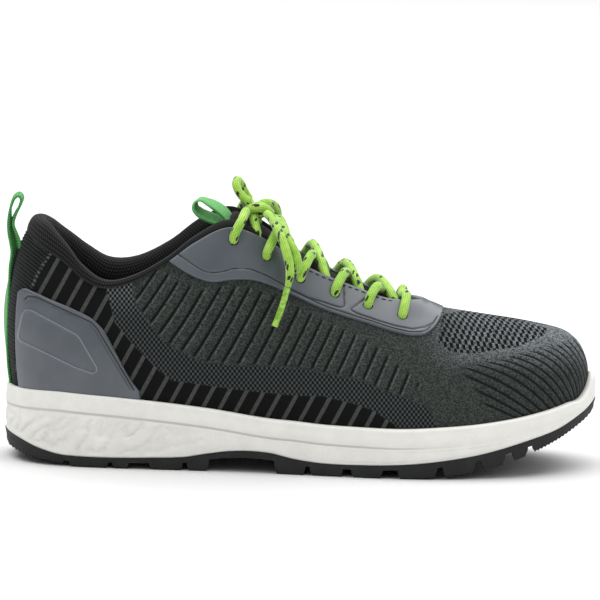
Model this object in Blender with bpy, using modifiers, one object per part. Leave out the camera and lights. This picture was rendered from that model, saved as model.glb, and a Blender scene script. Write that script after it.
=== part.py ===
"""Low-cut safety trainer for the right foot, laced and tied, standing on its sole.

Metres, +Z up. The toe points to +X and the outer side of the foot faces -Y. The origin is on the floor
under the middle of the sole.
"""

import math
from collections import namedtuple

import bmesh
import bpy
import numpy as np
from mathutils import Matrix, Vector

MM = 0.001

# Driving sizes: length and ball width over the sole, instep and heel height to the edge of the knit
LENGTH = 296 * MM
BALL_WIDTH = 104 * MM
INSTEP_HEIGHT = 120 * MM
HEEL_HEIGHT = 118 * MM
WALL = 2.0 * MM
GAP = 0.3 * MM

# Extra gap between wall and cup round the toe, from its first station and over how many it grows
TOE_GAP = 0.45 * MM
TOE_GAP_START = 0.86
TOE_GAP_GROWTH = 0.08

# Edge of the sole in plan, from the back of the heel (station 0) to the tip of the toe (station 1):
# along is a share of LENGTH, outer and inner are distances from the axis as shares of BALL_WIDTH
Outline = namedtuple("Outline", "station along outer inner")
OUTLINE = [Outline(*row) for row in (
    (0.000, 0.000, 0.000, 0.000),
    (0.047, 0.012, 0.150, 0.150),
    (0.094, 0.045, 0.275, 0.270),
    (0.150, 0.105, 0.350, 0.340),
    (0.232, 0.200, 0.385, 0.362),
    (0.329, 0.310, 0.398, 0.350),
    (0.422, 0.420, 0.420, 0.342),
    (0.519, 0.530, 0.460, 0.375),
    (0.613, 0.640, 0.496, 0.445),
    (0.691, 0.730, 0.495, 0.492),
    (0.762, 0.810, 0.448, 0.490),
    (0.833, 0.885, 0.374, 0.448),
    (0.897, 0.945, 0.252, 0.358),
    (0.956, 0.985, 0.094, 0.220),
    (1.000, 1.000, -0.066, 0.066),
)]

# Top of each section: the edge of the knit round the ankle, then a ridge line over the instep and vamp,
# where both sides meet. cut is the share of the section that stays below the throat, and 1 where it isn't cut
Topline = namedtuple("Topline", "station along outer inner outer_height inner_height cut")
TOPLINE = [Topline(*row) for row in (
    (0.000, 0.043, 0.000, 0.000, 1.000 * HEEL_HEIGHT, 1.000 * HEEL_HEIGHT, 1.000),
    (0.047, 0.049, 0.100, 0.100, 0.995 * HEEL_HEIGHT, 0.993 * HEEL_HEIGHT, 1.000),
    (0.094, 0.069, 0.186, 0.182, 0.972 * HEEL_HEIGHT, 0.963 * HEEL_HEIGHT, 1.000),
    (0.150, 0.104, 0.255, 0.245, 0.894 * HEEL_HEIGHT, 0.897 * HEEL_HEIGHT, 1.000),
    (0.190, 0.134, 0.282, 0.270, 0.811 * HEEL_HEIGHT, 0.843 * HEEL_HEIGHT, 1.000),
    (0.232, 0.168, 0.298, 0.284, 0.762 * HEEL_HEIGHT, 0.799 * HEEL_HEIGHT, 1.000),
    (0.280, 0.215, 0.308, 0.288, 0.772 * INSTEP_HEIGHT, 0.792 * INSTEP_HEIGHT, 1.000),
    (0.329, 0.270, 0.298, 0.279, 0.848 * INSTEP_HEIGHT, 0.860 * INSTEP_HEIGHT, 1.000),
    (0.375, 0.320, 0.274, 0.260, 0.938 * INSTEP_HEIGHT, 0.952 * INSTEP_HEIGHT, 1.000),
    (0.422, 0.375, 0.238, 0.232, 0.996 * INSTEP_HEIGHT, 1.008 * INSTEP_HEIGHT, 1.000),
    (0.460, 0.425, 0.202, 0.204, 0.968 * INSTEP_HEIGHT, 0.975 * INSTEP_HEIGHT, 0.985),
    (0.519, 0.510, 0.149, 0.156, 0.854 * INSTEP_HEIGHT, 0.858 * INSTEP_HEIGHT, 0.950),
    (0.570, 0.590, 0.060, 0.074, 0.784 * INSTEP_HEIGHT, 0.787 * INSTEP_HEIGHT, 0.915),
    (0.613, 0.655, -0.005, 0.005, 0.729 * INSTEP_HEIGHT, 0.729 * INSTEP_HEIGHT, 0.880),
    (0.640, 0.688, -0.007, 0.007, 0.687 * INSTEP_HEIGHT, 0.687 * INSTEP_HEIGHT, 0.930),
    (0.655, 0.700, -0.008, 0.008, 0.670 * INSTEP_HEIGHT, 0.670 * INSTEP_HEIGHT, 1.000),
    (0.691, 0.735, -0.014, 0.014, 0.655 * INSTEP_HEIGHT, 0.655 * INSTEP_HEIGHT, 1.000),
    (0.762, 0.800, -0.024, 0.024, 0.631 * INSTEP_HEIGHT, 0.631 * INSTEP_HEIGHT, 1.000),
    (0.833, 0.855, -0.034, 0.034, 0.611 * INSTEP_HEIGHT, 0.611 * INSTEP_HEIGHT, 1.000),
    (0.897, 0.895, -0.043, 0.043, 0.592 * INSTEP_HEIGHT, 0.592 * INSTEP_HEIGHT, 1.000),
    (0.956, 0.918, -0.051, 0.051, 0.578 * INSTEP_HEIGHT, 0.578 * INSTEP_HEIGHT, 1.000),
    (1.000, 0.925, -0.053, 0.053, 0.572 * INSTEP_HEIGHT, 0.572 * INSTEP_HEIGHT, 1.000),
)]
THROAT_FRONT = 0.655

# Fullness of each upright section: inset is from the sole's edge to the foot of the wall, flare and rise
# shape the wall above the sole, run and drop shape it below the top edge, all in millimetres
Fullness = namedtuple("Fullness", "station inset flare rise run drop")
FULLNESS = [Fullness(*row) for row in (
    (0.000, 5.0, 8.0, 33.5, 14.0, 18.0),
    (0.094, 5.0, 7.0, 33.0, 11.0, 21.0),
    (0.232, 5.0, 4.0, 29.0, 5.0, 24.0),
    (0.329, 5.0, 3.0, 28.0, 8.0, 25.0),
    (0.422, 5.2, 3.0, 30.0, 13.0, 28.0),
    (0.460, 5.2, 3.2, 29.0, 15.5, 29.0),
    (0.519, 5.2, 3.5, 28.0, 19.5, 22.5),
    (0.570, 5.3, 4.0, 27.0, 28.5, 18.0),
    (0.613, 5.4, 4.5, 26.0, 31.5, 10.0),
    (0.640, 5.5, 4.8, 26.0, 29.2, 4.5),
    (0.655, 5.5, 5.0, 26.0, 28.0, 2.4),
    (0.691, 5.5, 5.2, 26.0, 26.5, 1.6),
    (0.762, 5.6, 5.5, 26.0, 25.0, 1.0),
    (0.897, 5.8, 6.0, 22.0, 20.0, 0.6),
    (1.000, 5.8, 6.0, 17.0, 13.0, 0.2),
)]

# Heights of the sole along its length in millimetres: rim of the cup, step in its side, floor of the cup,
# joint of foam and rubber, underside of the rubber plate, and tread
Sole = namedtuple("Sole", "along rim floor joint plate tread")
SOLE = [Sole(*row) for row in (
    (0.000, 36.0, 26.5, 13.8, 10.4, 7.0),
    (0.030, 36.5, 26.4, 11.4, 8.0, 4.2),
    (0.060, 36.9, 26.2, 8.4, 5.2, 2.4),
    (0.100, 37.0, 25.8, 5.8, 3.0, 0.9),
    (0.125, 36.6, 25.4, 5.5, 3.0, 0.0),
    (0.250, 34.0, 23.0, 6.0, 3.2, 0.0),
    (0.310, 32.3, 21.5, 7.0, 4.0, 0.0),
    (0.345, 31.2, 20.5, 8.9, 5.8, 0.0),
    (0.380, 29.8, 19.6, 10.5, 7.1, 0.0),
    (0.415, 28.3, 18.6, 11.0, 7.4, 0.0),
    (0.450, 27.1, 17.6, 10.4, 6.8, 0.0),
    (0.490, 26.4, 16.2, 8.0, 5.0, 0.0),
    (0.530, 25.4, 15.0, 6.6, 4.2, 0.0),
    (0.600, 24.7, 13.5, 6.4, 4.0, 0.0),
    (0.665, 24.4, 13.2, 7.1, 4.4, 0.0),
    (0.733, 25.5, 14.9, 9.2, 6.2, 1.2),
    (0.804, 27.2, 17.6, 12.6, 9.4, 4.4),
    (0.872, 30.2, 22.0, 17.9, 14.6, 10.2),
    (0.943, 34.9, 28.0, 24.6, 21.6, 19.2),
    (0.970, 37.4, 31.6, 28.8, 26.0, 23.7),
    (0.980, 41.6, 33.0, 30.4, 27.6, 25.4),
    (0.986, 46.6, 34.0, 31.5, 28.7, 26.6),
    (1.000, 50.0, 36.4, 34.2, 31.4, 29.4),
)]
STEP_BELOW_RIM = 9.0 * MM
STEP_DEPTH = 0.7 * MM

# Rows of tread blocks: start and end as shares of LENGTH, and the channels between blocks as shares of
# BALL_WIDTH from the axis
Tread = namedtuple("Tread", "start end channels")
TREAD = [Tread(*row) for row in (
    (0.004, 0.106, ()),
    (0.115, 0.181, (0.0,)),
    (0.187, 0.215, (0.0,)),
    (0.249, 0.305, (0.0,)),
    (0.312, 0.349, (0.0,)),
    (0.458, 0.510, (-0.15, 0.13)),
    (0.517, 0.572, (-0.16, 0.14)),
    (0.586, 0.638, (-0.17, 0.16)),
    (0.663, 0.728, (-0.17, 0.17)),
    (0.738, 0.792, (-0.14, 0.17)),
    (0.802, 0.842, (-0.10, 0.16)),
    (0.854, 0.880, (0.04,)),
    (0.888, 0.996, ()),
)]
CHANNEL = 3.5 * MM
BLOCK_INSET = 0.5 * MM

# Sizes of the smaller pieces
INSOLE_THICK = 4.0 * MM
OVERLAY_LIFT = 0.6 * MM
OVERLAY_THICK = 1.2 * MM
TONGUE_THICK = 3.5 * MM
LACE_RADIUS = 2.2 * MM
EYELET_RADIUS = 2.6 * MM

# Eyelets from the ankle forward: their places as shares of LENGTH, and how far below the edge of the throat
# they are punched, in millimetres
EYELETS = (0.381, 0.436, 0.493, 0.552, 0.609, 0.668)
EYELETS_BELOW_EDGE = (7.0, 9.0, 9.0, 9.0, 9.4, 12.0)

# Lower edge of the eyestay and upper edge of the heel counters, the same on both sides of the shoe:
# along is a share of LENGTH, height is in millimetres
Line = namedtuple("Line", "along height")
EYESTAY_EDGE = [Line(*row) for row in (
    (0.275, 102.5),
    (0.311, 96.4),
    (0.346, 93.2),
    (0.384, 94.4),
    (0.417, 94.0),
    (0.464, 89.2),
    (0.528, 80.7),
    (0.609, 73.0),
    (0.660, 68.7),
    (0.686, 67.5),
    (0.710, 68.6),
    (0.724, 72.0),
    (0.734, 76.5),
    (0.742, 83.0),
)]
COUNTER_EDGE = [Line(*row) for row in (
    (0.020, 81.0),
    (0.035, 84.2),
    (0.051, 83.3),
    (0.079, 80.5),
    (0.122, 75.8),
    (0.155, 70.5),
    (0.167, 67.0),
    (0.188, 56.8),
    (0.214, 43.5),
    (0.232, 37.2),
)]

# First and last station of the heel counters, and the least share of a section that they cover
COUNTER_BACK = 0.061
COUNTER_FRONT = 0.262
COUNTER_LEAST = 0.02

# Extra stations where those edges slope the most
EYESTAY_TAIL = np.array([0.336, 0.340, 0.348, 0.357, 0.367])
COUNTER_SLOPE = np.array([COUNTER_BACK, 0.178, 0.200, 0.235, COUNTER_FRONT])

# Padding of the collar at each station, in millimetres: how far it stands above the edge of the knit, how
# thick it is and how deep it reaches down inside
Padding = namedtuple("Padding", "station crest pad depth")
PADDING = [Padding(*row) for row in (
    (0.000, 5.0, 7.0, 24.0),
    (0.094, 4.6, 8.0, 26.0),
    (0.232, 4.2, 8.5, 26.0),
    (0.329, 4.0, 6.5, 18.0),
    (0.380, 3.2, 4.2, 9.0),
    (0.412, 2.4, 2.2, 4.0),
)]

# Webbing of the heel loop in side view, in millimetres: the back tape and fold up to the fork, then the
# outside and the inside of the loop
Strap = namedtuple("Strap", "x z thick")
HEEL_STRAP = [Strap(*row) for row in (
    (-146.2, 95.0, 1.4),
    (-145.6, 102.5, 2.6),
    (-145.8, 109.0, 3.2),
    (-146.4, 116.5, 3.6),
)]
HEEL_LOOP_OUTSIDE = ((-148.6, 121.5), (-148.2, 126.0), (-146.0, 130.4), (-143.0, 131.8), (-140.6, 130.2),
                     (-141.3, 126.5), (-143.4, 122.0))
HEEL_LOOP_INSIDE = ((-146.4, 122.0), (-146.3, 126.0), (-144.8, 129.2), (-143.2, 129.9), (-142.7, 128.8),
                    (-143.6, 125.6), (-145.2, 121.8))
HEEL_STRAP_WIDTH = 12.0 * MM
TONGUE_LOOP_OUTSIDE = ((-42.6, 121.8), (-45.2, 120.9), (-49.0, 121.6), (-54.2, 123.6), (-56.0, 127.2),
                       (-54.6, 130.8), (-51.6, 131.6), (-47.0, 129.4), (-42.8, 126.6))
TONGUE_LOOP_INSIDE = ((-44.8, 124.6), (-46.0, 123.0), (-49.0, 123.4), (-52.8, 125.0), (-54.2, 127.2),
                      (-53.2, 129.2), (-51.2, 129.6), (-47.0, 127.2))
TONGUE_STRAP_WIDTH = 10.0 * MM

# Free cords of the bow as places on their centre lines, in millimetres
KNOT_CENTRE = (-21.6, -9.4, 127.6)
KNOT_RADII = (4.6, 5.0, 3.8)
LOOP_UP = ((-27.2, -10.4, 130.6), (-30.2, -11.2, 132.4), (-33.0, -10.8, 135.6), (-34.5, -9.0, 139.0),
           (-34.0, -5.5, 140.7), (-32.3, -1.5, 138.4), (-30.6, 0.8, 134.6), (-28.9, 2.0, 131.8),
           (-27.2, 2.4, 130.2))
LOOP_DOWN = ((-16.0, -12.6, 122.6), (-12.2, -22.6, 120.4), (-8.0, -32.8, 114.4), (-4.2, -36.0, 108.4),
             (-3.2, -37.0, 104.0), (-3.4, -35.6, 101.0), (-3.8, -32.8, 100.8), (-4.4, -30.8, 103.6),
             (-5.6, -29.6, 107.8), (-8.8, -28.2, 115.8), (-13.0, -17.2, 121.2), (-16.0, -7.0, 123.0))
END_OUTER = ((-19.5, -16.8, 126.2), (-16.6, -23.6, 124.2), (-13.8, -31.2, 120.6), (-10.6, -38.8, 114.8),
             (-8.4, -41.2, 108.4), (-7.0, -41.8, 102.8), (-6.9, -41.4, 97.9), (-7.7, -40.4, 92.9))
TIP_OUTER = ((-7.9, -40.2, 92.2), (-10.4, -41.0, 82.6), (-13.8, -42.0, 73.1))
END_INNER = ((-23.2, 5.0, 127.3), (-20.7, 8.0, 128.0), (-17.7, 13.0, 127.4), (-15.0, 19.0, 125.0),
             (-13.9, 25.0, 120.9), (-13.7, 29.0, 116.0), (-12.6, 33.0, 108.5), (-11.4, 36.4, 100.5),
             (-10.5, 39.0, 93.0))
TIP_INNER = ((-10.4, 39.2, 92.3), (-10.8, 41.0, 83.0), (-12.0, 42.5, 73.0))
TIP_RADIUS = 1.6 * MM

# Wall columns round the shoe, closer together round the front of the throat
STATIONS = np.unique(np.round(np.concatenate([
    np.linspace(0, 1, 29), [0.638, 0.648, THROAT_FRONT, 0.665]]), 4))
COLUMNS = np.concatenate([-STATIONS[::-1], STATIONS[1:-1]])
ROWS_ABOVE_RIM = 8


def smooth(places, values, at):
    """A smooth curve through points: a cubic between each two, with slopes from their neighbours."""
    slopes = np.gradient(values, places)
    at = np.asarray(at, float)
    k = np.clip(np.searchsorted(places, at) - 1, 0, len(places) - 2)
    step = places[k + 1] - places[k]
    u = np.clip((at - places[k]) / step, 0, 1)
    ends = (1 + 2 * u) * (1 - u) ** 2 * values[k] + u**2 * (3 - 2 * u) * values[k + 1]
    return ends + step * u * (1 - u) * ((1 - u) * slopes[k] - u * slopes[k + 1])


def column(table, name):
    """One named column of a table."""
    return np.array([getattr(row, name) for row in table], float)


def both_sides(table, outer, inner, q, closed=False):
    """A value round the shoe: q runs from -1 (toe) down the outer side to 0 (heel) and up to 1 (toe)."""
    stations = column(table, "station")
    places = np.concatenate([-stations[:0:-1], stations])
    values = np.concatenate([outer[:0:-1], inner])
    if closed:
        places = np.concatenate([places[-4:-1] - 2, places, places[1:4] + 2])
        values = np.concatenate([values[-4:-1], values, values[1:4]])
    return smooth(places, values, q)


def fullness(name, q):
    """A column of the fullness table at q, in metres."""
    return smooth(column(FULLNESS, "station"), column(FULLNESS, name), np.abs(q)) * MM


def sole_height(name, x):
    """A column of the sole table at x, in metres."""
    return smooth(column(SOLE, "along"), column(SOLE, name), np.asarray(x) / LENGTH + 0.5) * MM


def edge_point(q):
    """The sole's edge in plan at q."""
    along = column(OUTLINE, "along")
    x = (both_sides(OUTLINE, along, along, q, closed=True) - 0.5) * LENGTH
    y = both_sides(OUTLINE, -column(OUTLINE, "outer"), column(OUTLINE, "inner"), q, closed=True) * BALL_WIDTH
    return np.stack([x, y, np.zeros_like(x)], axis=-1)


def outward(q):
    """The level direction straight out from the sole's edge at q."""
    run = edge_point(q + 1e-3) - edge_point(q - 1e-3)
    across = np.stack([-run[..., 1], run[..., 0], np.zeros_like(run[..., 0])], axis=-1)
    return across / np.linalg.norm(across, axis=-1, keepdims=True)


def top_point(q):
    """The end of each section: the edge of the knit round the ankle, or the ridge line over the instep."""
    along = column(TOPLINE, "along")
    x = (both_sides(TOPLINE, along, along, q, closed=True) - 0.5) * LENGTH
    y = both_sides(TOPLINE, -column(TOPLINE, "outer"), column(TOPLINE, "inner"), q, closed=True) * BALL_WIDTH
    heights = column(TOPLINE, "outer_height"), column(TOPLINE, "inner_height")
    return np.stack([x, y, both_sides(TOPLINE, *heights, q, closed=True)], axis=-1)


def section(q, v):
    """A point on the outer face of the upper: v runs up the section at q, from the sole (0) to 1."""
    q, v = np.broadcast_arrays(np.asarray(q, float), np.asarray(v, float))
    cut = smooth(column(TOPLINE, "station"), column(TOPLINE, "cut"), np.abs(q))
    out = outward(q)
    up = np.array([0.0, 0.0, 1.0])
    flare, rise, run, drop = (fullness(name, q)[..., None] for name in ("flare", "rise", "run", "drop"))
    foot = edge_point(q) - out * fullness("inset", q)[..., None]
    foot[..., 2] = sole_height("floor", foot[..., 0]) + GAP
    top = top_point(q)
    v = (v * np.minimum(cut, 1))[..., None]
    low = foot + out * flare + up * rise
    high = top + out * run - up * drop
    return (1 - v) ** 3 * foot + 3 * v * (1 - v) ** 2 * low + 3 * v**2 * (1 - v) * high + v**3 * top


def directions(q, v):
    """Unit directions on the upper at q and v: up the section, and straight out of the face."""
    step = 1e-3
    q, v = np.broadcast_arrays(np.asarray(q, float), np.asarray(v, float))
    up = section(q, np.minimum(v + step, 1)) - section(q, np.maximum(v - step, 0))
    across = section(q + step, v) - section(q - step, v)
    face = np.cross(up, across)
    return (a / np.linalg.norm(a, axis=-1, keepdims=True) for a in (up, face))


def skin(q, v, lift):
    """A point of the upper moved straight out of its face by lift."""
    face = list(directions(q, v))[1]
    return section(q, v) + face * np.asarray(lift)[..., None]


def share_at(q, height):
    """The share of the section at q where it first passes a height, which is a function of x."""
    shares = np.linspace(0, 1, 401)
    points = section(q, shares)
    over = points[:, 2] - height(points[:, 0])
    k = int(np.argmax(over >= 0))
    if over[k] < 0:
        return 1.0
    if k == 0:
        return 0.0
    return shares[k - 1] + (shares[k] - shares[k - 1]) * over[k - 1] / (over[k - 1] - over[k])


def share_below_edge(q, distance):
    """The share of the section at q that lies a distance below its end, along the face."""
    shares = np.linspace(1, 0, 201)
    points = section(q, shares)
    lengths = np.concatenate([[0], np.cumsum(np.linalg.norm(np.diff(points, axis=0), axis=1))])
    return float(np.interp(distance, lengths, shares))


def rim_share(q):
    """The share of the section at q that stands at the rim of the cup."""
    return share_at(q, lambda x: sole_height("rim", x))


def collection(name, shown=True):
    """A new collection in the scene."""
    made = bpy.data.collections.new(name)
    bpy.context.scene.collection.children.link(made)
    made.hide_render = not shown
    return made


def add(name, mesh, colour=None, roughness=0.7, target=None):
    """One named object from a mesh, with its own material when it has a colour."""
    item = bpy.data.objects.new(name, mesh)
    (target or SHOE).objects.link(item)
    if colour:
        material = bpy.data.materials.new(name)
        material.use_nodes = True
        shader = material.node_tree.nodes["Principled BSDF"]
        shader.inputs["Base Color"].default_value = (*colour, 1)
        shader.inputs["Roughness"].default_value = roughness
        mesh.materials.append(material)
    else:
        item.display_type = "WIRE"
        item.hide_render = True
    return item


def loft(name, rows, ring=False, caps=None, weld=0.0):
    """A sheet of quads through rows of points, closed round each row for a ring.

    Each row runs the same way round the shoe as q, and the rows run up. The ends of a ring are capped with
    one flat face, or with a ladder of faces from side to side.
    """
    rows = [np.asarray(row) for row in rows]
    count = len(rows[0])
    points = np.concatenate(rows)
    faces = []
    for r in range(len(rows) - 1):
        for c in range(count if ring else count - 1):
            a, b = r * count + c, r * count + (c + 1) % count
            faces.append((a, a + count, b + count, b))
    for start, turn in ((0, 1), ((len(rows) - 1) * count, -1)):
        if caps == "flat":
            faces.append(tuple(range(start, start + count))[::turn])
        if caps == "ladder":
            for i in range(count // 2):
                j = (count - i) % count
                face = list(dict.fromkeys([start + i, start + i + 1, start + (j - 1) % count, start + j]))
                if len(face) > 2:
                    faces.append(tuple(face[::turn]))
    mesh = bpy.data.meshes.new(name)
    mesh.from_pydata([tuple(p) for p in points], [], faces)
    if weld:
        work = bmesh.new()
        work.from_mesh(mesh)
        bmesh.ops.remove_doubles(work, verts=work.verts, dist=weld)
        work.to_mesh(mesh)
        work.free()
    mesh.update()
    return mesh


def thicken(item, thickness, offset):
    """Gives an open sheet its thickness, out from its face (1) or in from it (-1)."""
    shell = item.modifiers.new("Thickness", "SOLIDIFY")
    shell.thickness = thickness
    shell.offset = offset
    shell.use_quality_normals = True


def combine(item, other, operation):
    """An exact Boolean with another object."""
    step = item.modifiers.new(operation.title(), "BOOLEAN")
    step.operation = operation
    step.solver = "EXACT"
    step.object = other


def round_path(points, steps):
    """More points on a smooth path through a few."""
    points = np.asarray(points, float)
    lengths = np.linalg.norm(np.diff(points, axis=0), axis=1)
    places = np.concatenate([[0], np.cumsum(np.maximum(lengths, 1e-6))])
    at = np.linspace(0, places[-1], steps)
    return np.stack([smooth(places, points[:, i], at) for i in range(3)], axis=-1)


def tube(name, points, radius):
    """A round cord mesh along a path."""
    curve = bpy.data.curves.new(name, "CURVE")
    curve.dimensions = "3D"
    curve.bevel_depth = radius
    curve.bevel_resolution = 2
    curve.use_fill_caps = True
    spline = curve.splines.new("POLY")
    spline.points.add(len(points) - 1)
    for spot, place in zip(spline.points, points):
        spot.co = (*place, 1)
    holder = bpy.data.objects.new(name, curve)
    bpy.context.scene.collection.objects.link(holder)
    bpy.context.view_layer.update()
    mesh = bpy.data.meshes.new_from_object(holder.evaluated_get(bpy.context.evaluated_depsgraph_get()))
    bpy.data.objects.remove(holder)
    work = bmesh.new()
    work.from_mesh(mesh)
    bmesh.ops.remove_doubles(work, verts=work.verts, dist=1e-6)
    bmesh.ops.recalc_face_normals(work, faces=work.faces)
    work.to_mesh(mesh)
    work.free()
    return mesh


for old in list(bpy.data.objects):
    bpy.data.objects.remove(old)
SHOE = collection("safety_shoe")
CUTTERS = collection("cutters", shown=False)

# Upper: one knitted wall, rooted in the cup of the midsole and open at the ankle, throat and underneath
RIM_SHARES = np.array([rim_share(q) for q in COLUMNS])
above = np.linspace(0, 1, ROWS_ABOVE_RIM + 1)
upper_shares = [RIM_SHARES * 0.0]
upper_shares += [RIM_SHARES + (1 - RIM_SHARES) * step for step in above]
upper = add("upper", loft("upper", [section(COLUMNS, shares) for shares in upper_shares], ring=True,
                          weld=0.02 * MM), (0.045, 0.048, 0.048), 0.9)
thicken(upper, WALL, -1)

# Midsole: a foam cup with a stepped side, lofted from its underside up the side, over the rim and down
# the inside to its floor
edge = edge_point(COLUMNS)
out = outward(COLUMNS)
joint_z = sole_height("joint", edge[:, 0])
toe_share = np.clip((np.abs(COLUMNS) - TOE_GAP_START) / TOE_GAP_GROWTH, 0, 1)
cup_gap = (GAP + TOE_GAP * toe_share)[:, None]
rim_point = section(COLUMNS, RIM_SHARES) + out * cup_gap
rim_z = rim_point[:, 2]
land = np.sum((edge - rim_point) * out, axis=1)
step_z = np.maximum(rim_z - STEP_BELOW_RIM, joint_z + 0.35 * (rim_z - joint_z))


def side_row(inset, height):
    """A row round the side of the midsole, in from its edge by inset."""
    row = edge - out * np.broadcast_to(inset, len(COLUMNS))[:, None]
    row[:, 2] = height
    return row


cup_floor = section(COLUMNS, RIM_SHARES * 0.0) + out * cup_gap
cup_floor[:, 2] -= GAP
midsole_rows = [
    side_row(0.4 * MM, joint_z),
    side_row(0.0, joint_z + 0.45 * (step_z - joint_z)),
    side_row(0.3 * MM + STEP_DEPTH, step_z - STEP_DEPTH),
    side_row(0.3 * MM, step_z),
    side_row(0.12 * land, 0.5 * (step_z + rim_z)),
    side_row(0.30 * land, rim_z - 0.7 * MM),
    side_row(0.50 * land, rim_z),
    rim_point,
    cup_floor,
]
midsole = add("midsole", loft("midsole", midsole_rows, ring=True, caps="ladder"), (0.80, 0.79, 0.76), 0.6)

# Outsole: a rubber plate under the midsole with tread blocks, and longer pads at heel and toe
plate_top = side_row(0.0, joint_z - GAP)
plate_low = side_row(0.6 * MM, sole_height("plate", edge[:, 0]))
outsole = add("outsole", loft("outsole", [plate_low, plate_top], ring=True, caps="ladder"),
              (0.025, 0.027, 0.028), 0.75)
ring_edges = {side: edge_point(side * np.linspace(0, 1, 201)) for side in (-1, 1)}


def tread_block(start, end, left, right, sections):
    """Rows of one tread block between two lines across the sole, each a function of x."""
    rows = []
    for x in (np.linspace(start, end, sections) - 0.5) * LENGTH:
        high = float(sole_height("plate", x)) + 1.2 * MM
        low = max(float(sole_height("tread", x)), 0.0)
        rows.append([(x, left(x), high), (x, left(x) + 0.5 * MM, low),
                     (x, right(x) - 0.5 * MM, low), (x, right(x), high)])
    return rows


def sole_side(side):
    """The sole's edge on one side as a function of x, in by the inset of the tread blocks."""
    points = ring_edges[side]
    return lambda x: float(np.interp(x, points[:, 0], points[:, 1])) - side * BLOCK_INSET


def level(y):
    """A line along the sole at a fixed distance from its axis."""
    return lambda x: y


blocks = bmesh.new()
for row in TREAD:
    lines = [sole_side(-1)]
    for channel in row.channels:
        lines += [level(channel * BALL_WIDTH - CHANNEL / 2), level(channel * BALL_WIDTH + CHANNEL / 2)]
    lines.append(sole_side(1))
    for left, right in zip(lines[::2], lines[1::2]):
        sections = 3 if row.channels else 7
        blocks.from_mesh(loft("block", tread_block(row.start, row.end, left, right, sections), ring=True,
                              caps="flat"))
bmesh.ops.recalc_face_normals(blocks, faces=blocks.faces)
tread_mesh = bpy.data.meshes.new("tread_blocks")
blocks.to_mesh(tread_mesh)
blocks.free()
combine(outsole, add("tread_blocks", tread_mesh, target=CUTTERS), "UNION")

# Insole: a loose footbed inside the wall, on the floor of the cup
insole_low = skin(COLUMNS, 0.0, np.full(len(COLUMNS), -WALL - 2 * GAP))
insole_low[:, 2] = sole_height("floor", insole_low[:, 0]) + GAP
insole_high = insole_low + np.array([0, 0, INSOLE_THICK - 1.0 * MM])
insole_top = insole_low - out * 1.0 * MM
insole_top[:, 2] = sole_height("floor", insole_top[:, 0]) + GAP + INSOLE_THICK
insole = add("insole", loft("insole", [insole_low, insole_high, insole_top], ring=True, caps="ladder"),
             (0.03, 0.03, 0.032), 0.95)

# Tongue: a padded sheet that follows the inside of the wall at its wings and arches across the throat
TONGUE_STATIONS = np.array([0.69, 0.655, 0.63, 0.60, 0.565, 0.53, 0.495, 0.46, 0.435])
TONGUE_WING = (0.78, 0.84, 0.90, 0.95)
TONGUE_TOP = [(3.5, 0.90), (6.5, 0.74), (8.0, 0.50)]


def tongue_row(station):
    """One row across the tongue: outer wing, arch and inner wing."""
    wings, ends = {}, {}
    for side in (-1, 1):
        shares = np.array(TONGUE_WING)
        wings[side] = skin(side * station, shares, np.full(len(shares), -WALL - 0.9 * MM))
        ends[side] = list(directions(side * station, shares[-1]))[0]
    a, b = wings[-1][-1], wings[1][-1]
    reach = 0.31 * np.linalg.norm(b - a)
    arch = [(1 - u) ** 3 * a + 3 * u * (1 - u) ** 2 * (a + ends[-1] * reach)
            + 3 * u**2 * (1 - u) * (b + ends[1] * reach) + u**3 * b for u in (0.2, 0.4, 0.6, 0.8)]
    return np.concatenate([wings[-1], arch, wings[1][::-1]])


tongue_rows = [tongue_row(station) for station in TONGUE_STATIONS]
middle = tongue_rows[-1].mean(axis=0)
lead = tongue_rows[-1][5] - tongue_rows[-2][5]
lead /= np.linalg.norm(lead)
for distance, width in TONGUE_TOP:
    row = tongue_rows[len(TONGUE_STATIONS) - 1].copy()
    row[:, 1] = middle[1] + (row[:, 1] - middle[1]) * width
    row[:, 2] = row[:, 2].max() - (row[:, 2].max() - row[:, 2]) * width**2
    tongue_rows.append(row + lead * distance * MM)
tongue = add("tongue", loft("tongue", tongue_rows[::-1]), (0.012, 0.012, 0.013), 0.9)
thicken(tongue, TONGUE_THICK, -1)

# Eyestay: a moulded overlay along both sides of the throat and round its front, on the face of the knit


def height_line(table):
    """A line drawn on the side of the shoe, as a height for each x."""
    places = column(table, "along")
    return lambda x: smooth(places, column(table, "height"), x / LENGTH + 0.5) * MM


def overlay(name, columns, low, high, rows):
    """A sheet over the knit between two shares of each section."""
    low, high = np.array(low), np.array(high)
    steps = np.linspace(0, 1, rows)
    return loft(name, [skin(columns, low + (high - low) * step, np.full(len(columns), OVERLAY_LIFT))
                       for step in steps])


def joined(name, meshes, weld):
    """Several meshes in one, with the points they share joined."""
    work = bmesh.new()
    for mesh in meshes:
        work.from_mesh(mesh)
    bmesh.ops.remove_doubles(work, verts=work.verts, dist=weld)
    whole = bpy.data.meshes.new(name)
    work.to_mesh(whole)
    work.free()
    return whole


GREY = (0.13, 0.145, 0.175)
halves = []
for side in (-1, 1):
    reach = [q for q in np.sort(np.concatenate([COLUMNS, side * EYESTAY_TAIL])) if 0.30 < q * side < 0.75
             and share_at(q, height_line(EYESTAY_EDGE)) < 0.975]
    low = [share_at(q, height_line(EYESTAY_EDGE)) for q in reach]
    halves.append(overlay("eyestay", np.array(reach), low, np.ones(len(reach)), 5))
eyestay = add("eyestay", joined("eyestay", halves, 0.2 * MM), GREY, 0.45)
thicken(eyestay, OVERLAY_THICK, 1)

# Eyelets: punched through the eyestay and the knit
throat_samples = np.linspace(0.40, THROAT_FRONT, 200)
eyelet_stations = np.interp((np.array(EYELETS) - 0.5) * LENGTH, section(-throat_samples, 1.0)[:, 0],
                            throat_samples)


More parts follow.
